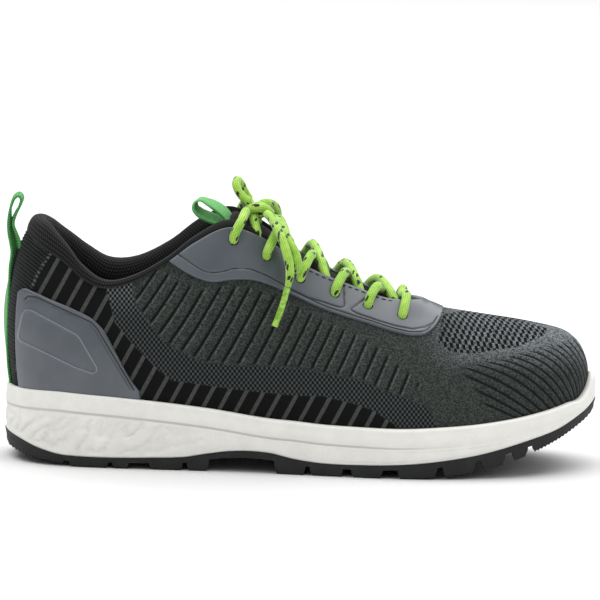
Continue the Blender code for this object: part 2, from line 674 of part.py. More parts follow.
def eyelet_share(side, row):
    """The share of a section where the eyelet of a row is punched."""
    return share_below_edge(side * eyelet_stations[row], EYELETS_BELOW_EDGE[row] * MM)


punch = bmesh.new()
for side in (-1, 1):
    for row, station in enumerate(eyelet_stations):
        q = side * station
        v = eyelet_share(side, row)
        face = Vector(list(directions(q, v))[1])
        place = Matrix.Translation(Vector(section(q, v))) @ face.to_track_quat("Z", "Y").to_matrix().to_4x4()
        bmesh.ops.create_cone(punch, cap_ends=True, segments=8, radius1=EYELET_RADIUS, radius2=EYELET_RADIUS,
                              depth=9 * MM, matrix=place)
punch_mesh = bpy.data.meshes.new("eyelet_punch")
punch.to_mesh(punch_mesh)
punch.free()
eyelet_punch = add("eyelet_punch", punch_mesh, target=CUTTERS)
combine(upper, eyelet_punch, "DIFFERENCE")
combine(eyestay, eyelet_punch, "DIFFERENCE")

# Heel counters: a moulded overlay on each side of the heel, from the rim of the cup up
for side, name in ((-1, "heel_counter_outer"), (1, "heel_counter_inner")):
    reach = [q for q in np.sort(np.concatenate([COLUMNS, side * COUNTER_SLOPE]))
             if COUNTER_BACK <= q * side <= COUNTER_FRONT]
    low = [share_at(q, lambda x: sole_height("rim", x) + 0.6 * MM) for q in reach]
    high = [share_at(q, height_line(COUNTER_EDGE)) for q in reach]
    high = np.maximum(high, np.array(low) + COUNTER_LEAST)
    counter = add(name, overlay(name, np.array(reach), low, high, 6), GREY, 0.45)
    thicken(counter, OVERLAY_THICK, 1)

# Collar: a padded roll on the edge of the knit and down its inside, thinning out towards the throat
COLLAR_STATIONS = np.concatenate([-STATIONS[::-1], STATIONS[1:]])
COLLAR_STATIONS = COLLAR_STATIONS[np.abs(COLLAR_STATIONS) < PADDING[-1].station]


def collar_section(q):
    """The outline of the padded roll at q, up from its foot inside and over the crest to the outside."""
    crest, pad, depth = (float(smooth(column(PADDING, "station"), column(PADDING, name), abs(q))) * MM
                         for name in ("crest", "pad", "depth"))
    edge = section(q, 1.0)
    up, face = directions(q, 1.0)
    inside = -WALL - 1.0 * MM
    shares = [share_below_edge(q, depth * part) for part in (0.15, 0.55, 1.0)]
    back = [skin(q, share, inside) for share in shares]
    return [
        edge + up * 0.6 * MM - face * 0.2 * MM,
        edge + up * 0.55 * crest + face * 0.5 * MM,
        edge + up * crest - face * 0.30 * pad,
        edge + up * 0.70 * crest - face * 0.85 * pad,
        skin(q, shares[0], inside - pad),
        skin(q, shares[1], inside - 0.75 * pad),
        skin(q, shares[2], inside - 0.8 * MM),
        back[2],
        back[1],
        back[0],
        edge + up * 0.6 * MM + face * inside,
    ][::-1]


collar_mesh = loft("collar", [collar_section(q) for q in COLLAR_STATIONS], ring=True, caps="flat")
collar = add("collar", collar_mesh, (0.012, 0.012, 0.013), 0.9)

# Pull loops: flat webbing, cut to its side view and as wide as the tape


def strap_loop(name, outside, inside, width, colour):
    """A strap drawn from the side, with the hole of its loop, and its width across the shoe."""
    curve = bpy.data.curves.new(name, "CURVE")
    curve.dimensions = "2D"
    curve.fill_mode = "BOTH"
    curve.extrude = width / 2
    for line in (outside, inside):
        spline = curve.splines.new("POLY")
        spline.points.add(len(line) - 1)
        spline.use_cyclic_u = True
        for spot, (x, z) in zip(spline.points, line):
            spot.co = (x * MM, z * MM, 0, 1)
    item = add(name, curve, colour, 0.85)
    item.rotation_euler = (math.radians(90), 0, 0)
    return item


def strap_edges(rows):
    """The two edges of a strap drawn as centre points with a thickness."""
    centre = np.array([(row[0], row[1]) for row in rows])
    run = np.gradient(centre, axis=0)
    across = np.stack([-run[:, 1], run[:, 0]], axis=1) / np.linalg.norm(run, axis=1)[:, None]
    half = np.array([row[2] for row in rows])[:, None] / 2
    return centre + across * half, centre - across * half


tape_shares = [share_at(0.0, lambda x, height=height: height * MM) for height in (38.5, 48, 58, 68, 78, 87)]
tape = [section(0.0, share) / MM for share in tape_shares]
tape_rows = [(point[0] - 1.0, point[2], 1.1) for point in tape] + [tuple(row) for row in HEEL_STRAP]
back_edge, front_edge = strap_edges(tape_rows)
heel_outside = [*map(tuple, back_edge), *HEEL_LOOP_OUTSIDE, *map(tuple, front_edge[::-1])]
strap_loop("heel_pull_loop", heel_outside, HEEL_LOOP_INSIDE, HEEL_STRAP_WIDTH, (0.06, 0.34, 0.07))
strap_loop("tongue_pull_loop", TONGUE_LOOP_OUTSIDE, TONGUE_LOOP_INSIDE, TONGUE_STRAP_WIDTH,
           (0.14, 0.48, 0.14))

# Laces: crossings from each row of eyelets to the next and a bar at the front, over the tongue
LIME = (0.38, 0.66, 0.07)
OVER_EYESTAY = OVERLAY_LIFT + OVERLAY_THICK + GAP + LACE_RADIUS


def over_tongue(station, rise):
    """The middle of the throat at a station, above the crown of the tongue."""
    row = tongue_row(station)
    crown = (row[len(row) // 2 - 1] + row[len(row) // 2]) / 2
    return crown + np.array([0.25, 0, 0.97]) * rise


def lace_strand(side, row):
    """A strand from an eyelet on one side to the edge of the throat on the other."""
    start = eyelet_stations[row]
    step = eyelet_stations[row + 1] - start
    return round_path([
        skin(side * start, eyelet_share(side, row), OVER_EYESTAY),
        skin(side * (start + 0.12 * step), 1.0, OVER_EYESTAY + 0.8 * MM),
        over_tongue(start + 0.48 * step, LACE_RADIUS + 1.2 * MM),
        skin(-side * (start + 0.74 * step), 1.0, OVER_EYESTAY + 0.8 * MM),
    ], 6)


for row in range(len(EYELETS) - 1):
    name = f"lace_crossing_{row + 1}"
    under = add(name + "_inner_half", tube(name, lace_strand(1, row), LACE_RADIUS), target=CUTTERS)
    crossing = add(name, tube(name, lace_strand(-1, row), LACE_RADIUS), LIME, 0.8)
    combine(crossing, under, "UNION")
front_row = len(EYELETS) - 1
last = eyelet_stations[front_row]
bar = [skin(-last, eyelet_share(-1, front_row), OVER_EYESTAY),
       skin(-last, 1.0, OVER_EYESTAY + 0.9 * MM),
       over_tongue(last, LACE_RADIUS + 1.2 * MM),
       skin(last, 1.0, OVER_EYESTAY + 0.9 * MM),
       skin(last, eyelet_share(1, front_row), OVER_EYESTAY)]
add("lace_bar", tube("lace_bar", round_path(bar, 9), LACE_RADIUS), LIME, 0.8)

# Bow: knot, two loops and two ends with their tips, all free cord
knot_work = bmesh.new()
bmesh.ops.create_uvsphere(knot_work, u_segments=10, v_segments=7, radius=1.0)
for vert in knot_work.verts:
    vert.co = [(c + r * p) * MM for c, r, p in zip(KNOT_CENTRE, KNOT_RADII, vert.co)]
knot_mesh = bpy.data.meshes.new("lace_knot")
knot_work.to_mesh(knot_mesh)
knot_work.free()
add("lace_knot", knot_mesh, LIME, 0.8)
for name, path, steps, radius in (
    ("lace_loop_up", LOOP_UP, 13, LACE_RADIUS),
    ("lace_loop_down", LOOP_DOWN, 21, LACE_RADIUS),
    ("lace_end_outer", END_OUTER, 9, LACE_RADIUS),
    ("lace_tip_outer", TIP_OUTER, 4, TIP_RADIUS),
    ("lace_end_inner", END_INNER, 10, LACE_RADIUS),
    ("lace_tip_inner", TIP_INNER, 4, TIP_RADIUS),
):
    colour = LIME if radius == LACE_RADIUS else (0.10, 0.16, 0.06)
    add(name, tube(name, round_path(np.array(path) * MM, steps), radius), colour, 0.8)
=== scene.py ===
"""Looks of a laced safety trainer for the right foot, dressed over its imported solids.

Metres, +Z up. The toe points to +X and the outer side of the foot faces -Y, as in the frame.
"""

import math

import bmesh
import bpy
import numpy as np
from mathutils import Matrix, Quaternion, Vector, kdtree, noise


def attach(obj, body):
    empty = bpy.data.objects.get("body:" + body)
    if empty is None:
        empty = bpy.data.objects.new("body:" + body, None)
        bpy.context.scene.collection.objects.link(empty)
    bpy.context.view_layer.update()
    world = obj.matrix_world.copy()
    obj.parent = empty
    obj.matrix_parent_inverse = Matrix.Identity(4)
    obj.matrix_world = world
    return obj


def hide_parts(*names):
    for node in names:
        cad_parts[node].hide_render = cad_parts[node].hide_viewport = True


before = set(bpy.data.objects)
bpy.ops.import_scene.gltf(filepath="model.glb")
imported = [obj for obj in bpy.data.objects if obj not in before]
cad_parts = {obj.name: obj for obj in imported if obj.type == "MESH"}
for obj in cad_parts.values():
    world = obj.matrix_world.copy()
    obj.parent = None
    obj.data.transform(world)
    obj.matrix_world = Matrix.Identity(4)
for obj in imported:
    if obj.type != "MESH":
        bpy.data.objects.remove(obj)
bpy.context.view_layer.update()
MM = 0.001

# Camera: a long lens at the picture's angle, square to the outer side and a little above it, rolled by the
# small tilt of the picture. picture() gives the pixel of a point, for the lines read off the picture.
PICTURE = 600
VIEW_WIDTH = 300 * MM
VIEW_CENTRE = np.array([-1.6, 0.0, 80.6]) * MM
VIEW_RISE = math.radians(8.0)
VIEW_ROLL = math.radians(1.3)
VIEW_DISTANCE = 2.2
TOWARDS_CAMERA = np.array([0.0, -math.cos(VIEW_RISE), math.sin(VIEW_RISE)])
VIEW_UP = np.array([0.0, math.sin(VIEW_RISE), math.cos(VIEW_RISE)])

camera = bpy.data.objects.new("camera", bpy.data.cameras.new("camera"))
camera.data.sensor_width = 36
camera.data.lens = camera.data.sensor_width * VIEW_DISTANCE / VIEW_WIDTH
camera.data.clip_end = 50
camera.location = Vector(VIEW_CENTRE + TOWARDS_CAMERA * VIEW_DISTANCE)
facing = Vector(-TOWARDS_CAMERA).to_track_quat("-Z", "Y") @ Quaternion((0, 0, 1), VIEW_ROLL)
camera.rotation_euler = facing.to_euler()
bpy.context.scene.collection.objects.link(camera)
bpy.context.scene.camera = camera


def picture(points):
    """Pixels of points in the picture, with the inner side of the shoe folded onto the outer one."""
    away = np.stack([points[..., 0], -np.abs(points[..., 1]), points[..., 2]], axis=-1) - VIEW_CENTRE
    scale = PICTURE / VIEW_WIDTH * VIEW_DISTANCE / (VIEW_DISTANCE - away @ TOWARDS_CAMERA)
    across = away[..., 0] * scale
    up = away @ VIEW_UP * scale
    column = PICTURE / 2 + across * math.cos(VIEW_ROLL) + up * math.sin(VIEW_ROLL)
    line = PICTURE / 2 + across * math.sin(VIEW_ROLL) - up * math.cos(VIEW_ROLL)
    return np.stack([column, line], axis=-1)


# Upper: one knitted sock of dark yarn, with paler yarn and a painted sheen of the top light over the vamp,
# pulled over the last and rooted in the cup of the midsole. Ribs, an open band, a black striped panel,
# a holed vamp and toe grooves are knitted into the wall.
LENGTH = 296 * MM
BALL_WIDTH = 104 * MM
INSTEP_HEIGHT = 120 * MM
HEEL_HEIGHT = 118 * MM
WALL = 2.0 * MM
GAP = 0.3 * MM
THROAT_FRONT = 0.655
INSTEP_FROM = 0.25


def table(names, *rows):
    """A short table as one array for each named column."""
    return dict(zip(names.split(), np.array(rows, float).T))


OUTLINE = table(
    "station along outer inner",
    (0.000, 0.000, 0.000, 0.000),
    (0.047, 0.012, 0.150, 0.150),
    (0.094, 0.045, 0.275, 0.270),
    (0.150, 0.105, 0.350, 0.340),
    (0.232, 0.200, 0.385, 0.362),
    (0.329, 0.310, 0.398, 0.350),
    (0.422, 0.420, 0.420, 0.342),
    (0.519, 0.530, 0.460, 0.375),
    (0.613, 0.640, 0.496, 0.445),
    (0.691, 0.730, 0.495, 0.492),
    (0.762, 0.810, 0.448, 0.490),
    (0.833, 0.885, 0.374, 0.448),
    (0.897, 0.945, 0.252, 0.358),
    (0.956, 0.985, 0.094, 0.220),
    (1.000, 1.000, -0.066, 0.066),
)
TOPLINE = table(
    "station along outer inner outer_height inner_height cut",
    (0.000, 0.043, 0.000, 0.000, 1.000, 1.000, 1.000),
    (0.047, 0.049, 0.100, 0.100, 0.995, 0.993, 1.000),
    (0.094, 0.069, 0.186, 0.182, 0.972, 0.963, 1.000),
    (0.150, 0.104, 0.255, 0.245, 0.894, 0.897, 1.000),
    (0.190, 0.134, 0.282, 0.270, 0.811, 0.843, 1.000),
    (0.232, 0.168, 0.298, 0.284, 0.762, 0.799, 1.000),
    (0.280, 0.215, 0.308, 0.288, 0.772, 0.792, 1.000),
    (0.329, 0.270, 0.298, 0.279, 0.848, 0.860, 1.000),
    (0.375, 0.320, 0.274, 0.260, 0.938, 0.952, 1.000),
    (0.422, 0.375, 0.238, 0.232, 0.996, 1.008, 1.000),
    (0.460, 0.425, 0.202, 0.204, 0.968, 0.975, 0.985),
    (0.519, 0.510, 0.149, 0.156, 0.854, 0.858, 0.950),
    (0.570, 0.590, 0.060, 0.074, 0.784, 0.787, 0.915),
    (0.613, 0.655, -0.005, 0.005, 0.729, 0.729, 0.880),
    (0.640, 0.688, -0.007, 0.007, 0.687, 0.687, 0.930),
    (0.655, 0.700, -0.008, 0.008, 0.670, 0.670, 1.000),
    (0.691, 0.735, -0.014, 0.014, 0.655, 0.655, 1.000),
    (0.762, 0.800, -0.024, 0.024, 0.631, 0.631, 1.000),
    (0.833, 0.855, -0.034, 0.034, 0.611, 0.611, 1.000),
    (0.897, 0.895, -0.043, 0.043, 0.592, 0.592, 1.000),
    (0.956, 0.918, -0.051, 0.051, 0.578, 0.578, 1.000),
    (1.000, 0.925, -0.053, 0.053, 0.572, 0.572, 1.000),
)
for measure in ("outer_height", "inner_height"):
    TOPLINE[measure] *= np.where(TOPLINE["station"] < INSTEP_FROM, HEEL_HEIGHT, INSTEP_HEIGHT)
FULLNESS = table(
    "station inset flare rise run drop",
    (0.000, 5.0, 8.0, 33.5, 14.0, 18.0),
    (0.094, 5.0, 7.0, 33.0, 11.0, 21.0),
    (0.232, 5.0, 4.0, 29.0, 5.0, 24.0),
    (0.329, 5.0, 3.0, 28.0, 8.0, 25.0),
    (0.422, 5.2, 3.0, 30.0, 13.0, 28.0),
    (0.460, 5.2, 3.2, 29.0, 15.5, 29.0),
    (0.519, 5.2, 3.5, 28.0, 19.5, 22.5),
    (0.570, 5.3, 4.0, 27.0, 28.5, 18.0),
    (0.613, 5.4, 4.5, 26.0, 31.5, 10.0),
    (0.640, 5.5, 4.8, 26.0, 29.2, 4.5),
    (0.655, 5.5, 5.0, 26.0, 28.0, 2.4),
    (0.691, 5.5, 5.2, 26.0, 26.5, 1.6),
    (0.762, 5.6, 5.5, 26.0, 25.0, 1.0),
    (0.897, 5.8, 6.0, 22.0, 20.0, 0.6),
    (1.000, 5.8, 6.0, 17.0, 13.0, 0.2),
)
SOLE = table(
    "along rim floor joint plate tread",
    (0.000, 36.0, 26.5, 13.8, 10.4, 7.0),
    (0.030, 36.5, 26.4, 11.4, 8.0, 4.2),
    (0.060, 36.9, 26.2, 8.4, 5.2, 2.4),
    (0.100, 37.0, 25.8, 5.8, 3.0, 0.9),
    (0.125, 36.6, 25.4, 5.5, 3.0, 0.0),
    (0.250, 34.0, 23.0, 6.0, 3.2, 0.0),
    (0.310, 32.3, 21.5, 7.0, 4.0, 0.0),
    (0.345, 31.2, 20.5, 8.9, 5.8, 0.0),
    (0.380, 29.8, 19.6, 10.5, 7.1, 0.0),
    (0.415, 28.3, 18.6, 11.0, 7.4, 0.0),
    (0.450, 27.1, 17.6, 10.4, 6.8, 0.0),
    (0.490, 26.4, 16.2, 8.0, 5.0, 0.0),
    (0.530, 25.4, 15.0, 6.6, 4.2, 0.0),
    (0.600, 24.7, 13.5, 6.4, 4.0, 0.0),
    (0.665, 24.4, 13.2, 7.1, 4.4, 0.0),
    (0.733, 25.5, 14.9, 9.2, 6.2, 1.2),
    (0.804, 27.2, 17.6, 12.6, 9.4, 4.4),
    (0.872, 30.2, 22.0, 17.9, 14.6, 10.2),
    (0.943, 34.9, 28.0, 24.6, 21.6, 19.2),
    (0.970, 37.4, 31.6, 28.8, 26.0, 23.7),
    (0.980, 41.6, 33.0, 30.4, 27.6, 25.4),
    (0.986, 46.6, 34.0, 31.5, 28.7, 26.6),
    (1.000, 50.0, 36.4, 34.2, 31.4, 29.4),
)


def smooth(places, values, at):
    """A smooth curve through points: a cubic between each two, with slopes from their neighbours."""
    slopes = np.gradient(values, places)
    at = np.asarray(at, float)
    k = np.clip(np.searchsorted(places, at) - 1, 0, len(places) - 2)
    step = places[k + 1] - places[k]
    u = np.clip((at - places[k]) / step, 0, 1)
    ends = (1 + 2 * u) * (1 - u) ** 2 * values[k] + u**2 * (3 - 2 * u) * values[k + 1]
    return ends + step * u * (1 - u) * ((1 - u) * slopes[k] - u * slopes[k + 1])


def around(lines, outer, inner, q):
    """A value round the shoe: q runs from -1 (toe) down the outer side to 0 (heel) and up to 1 (toe)."""
    stations = lines["station"]
    places = np.concatenate([-stations[:0:-1], stations])
    values = np.concatenate([outer[:0:-1], inner])
    places = np.concatenate([places[-4:-1] - 2, places, places[1:4] + 2])
    values = np.concatenate([values[-4:-1], values, values[1:4]])
    return smooth(places, values, q)


def fullness(name, q):
    """A column of the fullness table at q, as a length."""
    return smooth(FULLNESS["station"], FULLNESS[name], np.abs(q)) * MM


def sole_height(name, x):
    """A column of the sole table at x, as a height."""
    return smooth(SOLE["along"], SOLE[name], np.asarray(x) / LENGTH + 0.5) * MM


def edge_point(q):
    """The sole's edge in plan at q."""
    x = (around(OUTLINE, OUTLINE["along"], OUTLINE["along"], q) - 0.5) * LENGTH
    y = around(OUTLINE, -OUTLINE["outer"], OUTLINE["inner"], q) * BALL_WIDTH
    return np.stack([x, y, np.zeros_like(x)], axis=-1)


def unit(vectors):
    """Vectors at length one."""
    return vectors / np.linalg.norm(vectors, axis=-1, keepdims=True)


def outward(q):
    """The level direction straight out from the sole's edge at q."""
    run = edge_point(q + 1e-3) - edge_point(q - 1e-3)
    return unit(np.stack([-run[..., 1], run[..., 0], np.zeros_like(run[..., 0])], axis=-1))


def top_point(q):
    """The end of each section: the edge of the knit round the ankle, or the ridge line over the instep."""
    x = (around(TOPLINE, TOPLINE["along"], TOPLINE["along"], q) - 0.5) * LENGTH
    y = around(TOPLINE, -TOPLINE["outer"], TOPLINE["inner"], q) * BALL_WIDTH
    return np.stack([x, y, around(TOPLINE, TOPLINE["outer_height"], TOPLINE["inner_height"], q)], axis=-1)


def section(q, v):
    """A point on the outer face of the upper: v runs up the section at q from sole (0) to edge (1)."""
    q, v = np.broadcast_arrays(np.asarray(q, float), np.asarray(v, float))
    out = outward(q)
    up = np.array([0.0, 0.0, 1.0])
    flare, rise, run, drop = (fullness(name, q)[..., None] for name in ("flare", "rise", "run", "drop"))
    foot = edge_point(q) - out * fullness("inset", q)[..., None]
    foot[..., 2] = sole_height("floor", foot[..., 0]) + GAP
    top = top_point(q)
    cut = smooth(TOPLINE["station"], TOPLINE["cut"], np.abs(q))
    v = (v * np.minimum(cut, 1))[..., None]
    low = foot + out * flare + up * rise
    high = top + out * run - up * drop
    return (1 - v) ** 3 * foot + 3 * v * (1 - v) ** 2 * low + 3 * v**2 * (1 - v) * high + v**3 * top


def directions(q, v):
    """Unit directions on the upper at q and v: up the section, and straight out of the face."""
    step = 1e-3
    q, v = np.broadcast_arrays(np.asarray(q, float), np.asarray(v, float))
    up = section(q, np.minimum(v + step, 1)) - section(q, np.maximum(v - step, 0))
    across = section(q + step, v) - section(q - step, v)
    return unit(up), unit(np.cross(up, across))


def skin(q, v, lift):
    """A point of the upper moved straight out of its face by lift."""
    return section(q, v) + directions(q, v)[1] * np.asarray(lift)[..., None]


def share_at(q, height):
    """The share of each section in q where it first passes a height, which is a function of x."""
    shares = np.linspace(0, 1, 301)
    points = section(np.asarray(q, float)[:, None], shares)
    over = points[..., 2] - height(points[..., 0])
    k = np.clip(np.argmax(over >= 0, axis=1), 1, len(shares) - 1)
    rows = np.arange(len(k))
    low, high = over[rows, k - 1], over[rows, k]
    share = shares[k - 1] + np.clip(low / (low - high), 0, 1) * (shares[k] - shares[k - 1])
    return np.where((over >= 0).any(axis=1), share, 1.0)


def run_along(points):
    """The length from the first point to each, along a line of points or down each column of a grid."""
    steps = np.linalg.norm(np.diff(points, axis=0), axis=-1)
    return np.concatenate([np.zeros((1, *steps.shape[1:])), np.cumsum(steps, axis=0)])


def share_below_edge(q, distance):
    """The share of the section at q that lies a distance below its end, along the face."""
    shares = np.linspace(1, 0, 201)
    return float(np.interp(distance, run_along(section(q, shares)), shares))


def rim_share(q):
    """The share of each section in q that stands at the rim of the cup."""
    return share_at(q, lambda x: sole_height("rim", x))


def quilt(name, points, ring=False, loop=False, skip=None, weld=0.0, caps=False, marks=None):
    """A mesh of quads through a grid of points, joined round its columns (ring) or its rows (loop).

    skip leaves out the quads after some rows and columns, caps closes the first and last column of a loop,
    weld joins points that are nearer than that, and marks are named values for each point.
    """
    rows, columns = points.shape[:2]
    r, c = np.meshgrid(np.arange(rows if loop else rows - 1), np.arange(columns if ring else columns - 1),
                       indexing="ij")
    after_r, after_c = (r + 1) % rows, (c + 1) % columns
    quads = np.stack([r * columns + c, after_r * columns + c,
                      after_r * columns + after_c, r * columns + after_c], axis=-1)
    faces = (quads.reshape(-1, 4) if skip is None else quads[~skip]).tolist()
    if caps:
        faces.append((np.arange(rows) * columns).tolist()[::-1])
        faces.append((np.arange(rows) * columns + columns - 1).tolist())
    mesh = bpy.data.meshes.new(name)
    mesh.from_pydata(points.reshape(-1, 3).tolist(), [], faces)
    for label, values in (marks or {}).items():
        layer = mesh.attributes.new(label, "FLOAT", "POINT")
        layer.data.foreach_set("value", np.ascontiguousarray(values, np.float32).ravel())
    if weld:
        work = bmesh.new()
        work.from_mesh(mesh)
        bmesh.ops.remove_doubles(work, verts=work.verts, dist=weld)
        bmesh.ops.dissolve_degenerate(work, edges=work.edges, dist=weld / 10)
        work.to_mesh(mesh)
        work.free()
    return mesh


def piece(name, mesh, material, slot, *nodes):
    """A finished piece of the shoe, standing for solids of the frame."""
    item = bpy.data.objects.new(name, mesh)
    bpy.context.scene.collection.objects.link(item)
    if not mesh.materials:
        mesh.materials.append(material)
    mesh.shade_smooth()
    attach(item, "root")
    if nodes:
        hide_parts(*nodes)
    return item


def gap_to(spots, line, closed=False):
    """Distance of pixels to a line of pixels, or signed and positive inside when the line is closed."""
    flat = spots.reshape(-1, 1, 2)
    a = np.array(line, float)
    b = np.roll(a, -1, axis=0)
    if not closed:
        a, b = a[:-1], b[:-1]
    run = b - a
    share = np.clip(((flat - a) * run).sum(-1) / (run**2).sum(-1), 0, 1)
    gap = np.linalg.norm(flat - a - share[..., None] * run, axis=-1).min(axis=1)
    if closed:
        height = np.where(run[:, 1] == 0, 1e-9, run[:, 1])
        crossing = a[:, 0] + (flat[..., 1] - a[:, 1]) * run[:, 0] / height
        passed = ((a[:, 1] > flat[..., 1]) != (b[:, 1] > flat[..., 1])) & (flat[..., 0] < crossing)
        gap = np.where(passed.sum(axis=1) % 2, gap, -gap)
    return gap.reshape(spots.shape[:-1])


def ease(values, low, high):
    """A soft step from 0 at low to 1 at high."""
    u = np.clip((values - low) / (high - low), 0, 1)
    return u * u * (3 - 2 * u)


def dip(phase, width):
    """1 along each whole number of a phase, falling to 0 over a width."""
    return np.exp(-(((phase - np.round(phase)) / width) ** 2))


# Lines of the knit in picture pixels
BAND_TOP = ((126, 262), (132, 284), (134, 302), (155, 333), (172, 348), (200, 362), (224, 365), (268, 367),
            (300, 369), (321, 373), (362, 381), (382, 391), (402, 397), (427, 407), (435, 422), (438, 440))
BAND_LOW = ((98, 262), (105, 286), (115, 323), (134, 346), (159, 371), (172, 381), (191, 383), (230, 389),
            (268, 393), (300, 396), (321, 396), (351, 403), (372, 410), (394, 424), (404, 440))
RIB_TOP = ((133, 288), (150, 272), (157, 268), (170, 272), (180, 281), (202, 288), (221, 285), (251, 286),
           (274, 294), (296, 304), (334, 324), (356, 333), (378, 346), (400, 363), (424, 386))
PANEL_CORNERS = ((404, 520), (-40, 520), (-40, 190), (90, 190))
VAMP_HOLES = ((443, 314), (470, 309), (507, 316), (549, 328), (545, 335), (518, 347), (472, 354),
              (451, 352), (437, 342))
TOE_RIBS = ((456, 367), (478, 398), (486, 413), (500, 470), (640, 470), (640, 310), (590, 332), (568, 339))
HEEL_RIBS = ((52, 252), (44, 262), (36, 275), (31, 290), (22, 300), (15, 330), (14, 420), (-40, 420),
             (-40, 150), (30, 150), (40, 215), (46, 236))
HEEL_SEAM = ((52, 252), (44, 263), (37, 275), (32, 287))
HEEL_SEAM_RUN, HEEL_STITCH = (-0.56, 0.83), 4.4
TOE_FADE = (604, 560)
TOE_MARGIN = 3
# Where the vamp turns paler upwards, in picture pixels: paler yarn with a painted sheen of the top light
PALE_COLUMNS, PALE_LINES = (415, 475), (378, 335)
NET_COLUMNS, NET_LINES = 4.6, 5.8
# Picture lines over which the net's strands turn paler upwards: painted top light
NET_LIT_LINES = (325, 275)

# Ribs of the quarter: grooves counted from the toe end by their place on a level line, and their lean
RIB_LEVEL = 330
RIB_COUNT = table("place groove", (95, 23), (111, 22), (195, 17), (303, 10), (439, 0), (460, -1.6))
RIB_EDGE = 0.20
RIB_LEAN = table("place lean", (140, 0.80), (200, 0.62), (260, 0.53), (320, 0.48), (420, 0.38))
STRIPE_LEVEL, STRIPE_PLACE, STRIPE_PITCH, STRIPE_LEAN = 400, 207, 17.4, 0.55
TOE_GROOVES = table(
    "number x1 y1 x2 y2 x3 y3",
    (1, 449, 390, 485, 404, 508, 414),
    (3, 460, 374, 498, 391, 531, 412),
    (5, 478, 365, 522, 384, 548, 407),
    (7, 506, 361, 538, 376, 560, 400),
    (9, 529, 356, 555, 372, 570, 396),
    (11, 545, 350, 567, 367, 577, 392),
    (13, 557, 345, 576, 364, 582, 387),
    (15, 567, 340, 582, 360, 587, 382),
    (17, 576, 335, 588, 356, 592, 377),
)
HOLE_ALONG, HOLE_ACROSS, HOLE_LEAN = 3.1 * MM, 3.3 * MM, 0.18
HEEL_RIB_LEAN, HEEL_RIB_RISE = 0.8, 4.224

# Relief of the knit in millimetres
RIB_FACE, RIB_GROOVE, RIB_RIDGE = 0.45, 1.2, 0.3
TOE_FACE, TOE_GROOVE = 0.2, 0.6
HOLE_DEPTH, BAND_DEPTH, STRIPE_HEIGHT, HEEL_RIB_HEIGHT = 0.6, 0.15, 0.2, 0.25

# Grid of the wall: columns round the shoe and rows up it. Row step 1 is the rim of the cup and 2 the edge of
# the knit, and the rows lie a little closer together towards that edge.
stations = np.unique(np.round(np.concatenate([np.linspace(0, 1, 491), [THROAT_FRONT]]), 5))
columns = np.concatenate([-stations[::-1], stations[1:-1]])
rim_shares = rim_share(columns)
outer_steps = np.concatenate([[0, 0.5], 0.98 + 1.02 * (1 - (1 - np.linspace(0, 1, 76)) ** 1.15)])
outer_shares = np.where(outer_steps[:, None] < 1, rim_shares * outer_steps[:, None],
                        rim_shares + (1 - rim_shares) * (outer_steps[:, None] - 1))
wall_points = section(columns, outer_shares)
spots = picture(wall_points)
pixel_x, pixel_y = spots[..., 0], spots[..., 1]
up_wall = run_along(wall_points)
from_ridge = up_wall[-1] - up_wall

band = gap_to(spots, BAND_TOP + BAND_LOW[::-1], closed=True)
panel = gap_to(spots, BAND_LOW + PANEL_CORNERS, closed=True)
ribs = gap_to(spots, RIB_TOP + BAND_TOP[-4:0:-1], closed=True)
vamp = gap_to(spots, VAMP_HOLES, closed=True)
toe = gap_to(spots, TOE_RIBS, closed=True)
heel = gap_to(spots, HEEL_RIBS, closed=True)
heel_seam = gap_to(spots, HEEL_SEAM)
rib_lean = np.interp(pixel_x, RIB_LEAN["place"], RIB_LEAN["lean"])
rib_place = pixel_x + (pixel_y - RIB_LEVEL) * rib_lean
rib_phase = np.interp(rib_place, RIB_COUNT["place"], RIB_COUNT["groove"])
stripe_phase = (pixel_x + (pixel_y - STRIPE_LEVEL) * STRIPE_LEAN - STRIPE_PLACE) / STRIPE_PITCH

# Toe grooves: arcs through three points each. A point's phase is where it lies between the arcs, and past the
# first arc it stops half a rib away.
on_toe = toe > -TOE_MARGIN
toe_spots = spots[on_toe]
numbers = np.linspace(TOE_GROOVES["number"][0], TOE_GROOVES["number"][-1], 129)
number_step = numbers[1] - numbers[0]
beyond = []
for number in numbers:
    x1, y1, x2, y2, x3, y3 = (float(smooth(TOE_GROOVES["number"], TOE_GROOVES[name], number))
                              for name in ("x1", "y1", "x2", "y2", "x3", "y3"))
    chords = np.array([[x2 - x1, y2 - y1], [x3 - x1, y3 - y1]])
    centre = np.linalg.solve(chords, (chords**2).sum(axis=1) / 2)
    beyond.append(np.linalg.norm(toe_spots - centre - (x1, y1), axis=1) - np.linalg.norm(centre))
beyond = np.array(beyond)
under = beyond < 0
passed = np.where(under.any(axis=0), np.maximum(under.argmax(axis=0), 1), len(numbers) - 1)
before, after = (np.take_along_axis(beyond, (passed - back)[None], axis=0)[0] for back in (1, 0))
between = np.clip(before / (before - after), -0.5 / number_step, 1)
toe_phase = np.zeros(toe.shape)
toe_phase[on_toe] = numbers[passed - 1] + number_step * between
heel_phase = (pixel_y - HEEL_RIB_LEAN * pixel_x) / HEEL_RIB_RISE
hole_a = wall_points[..., 0] / HOLE_ALONG - HOLE_LEAN * from_ridge / HOLE_ACROSS
hole_b = from_ridge / HOLE_ACROSS
holes = np.cos(2 * math.pi * hole_a) * np.cos(math.pi * hole_b)

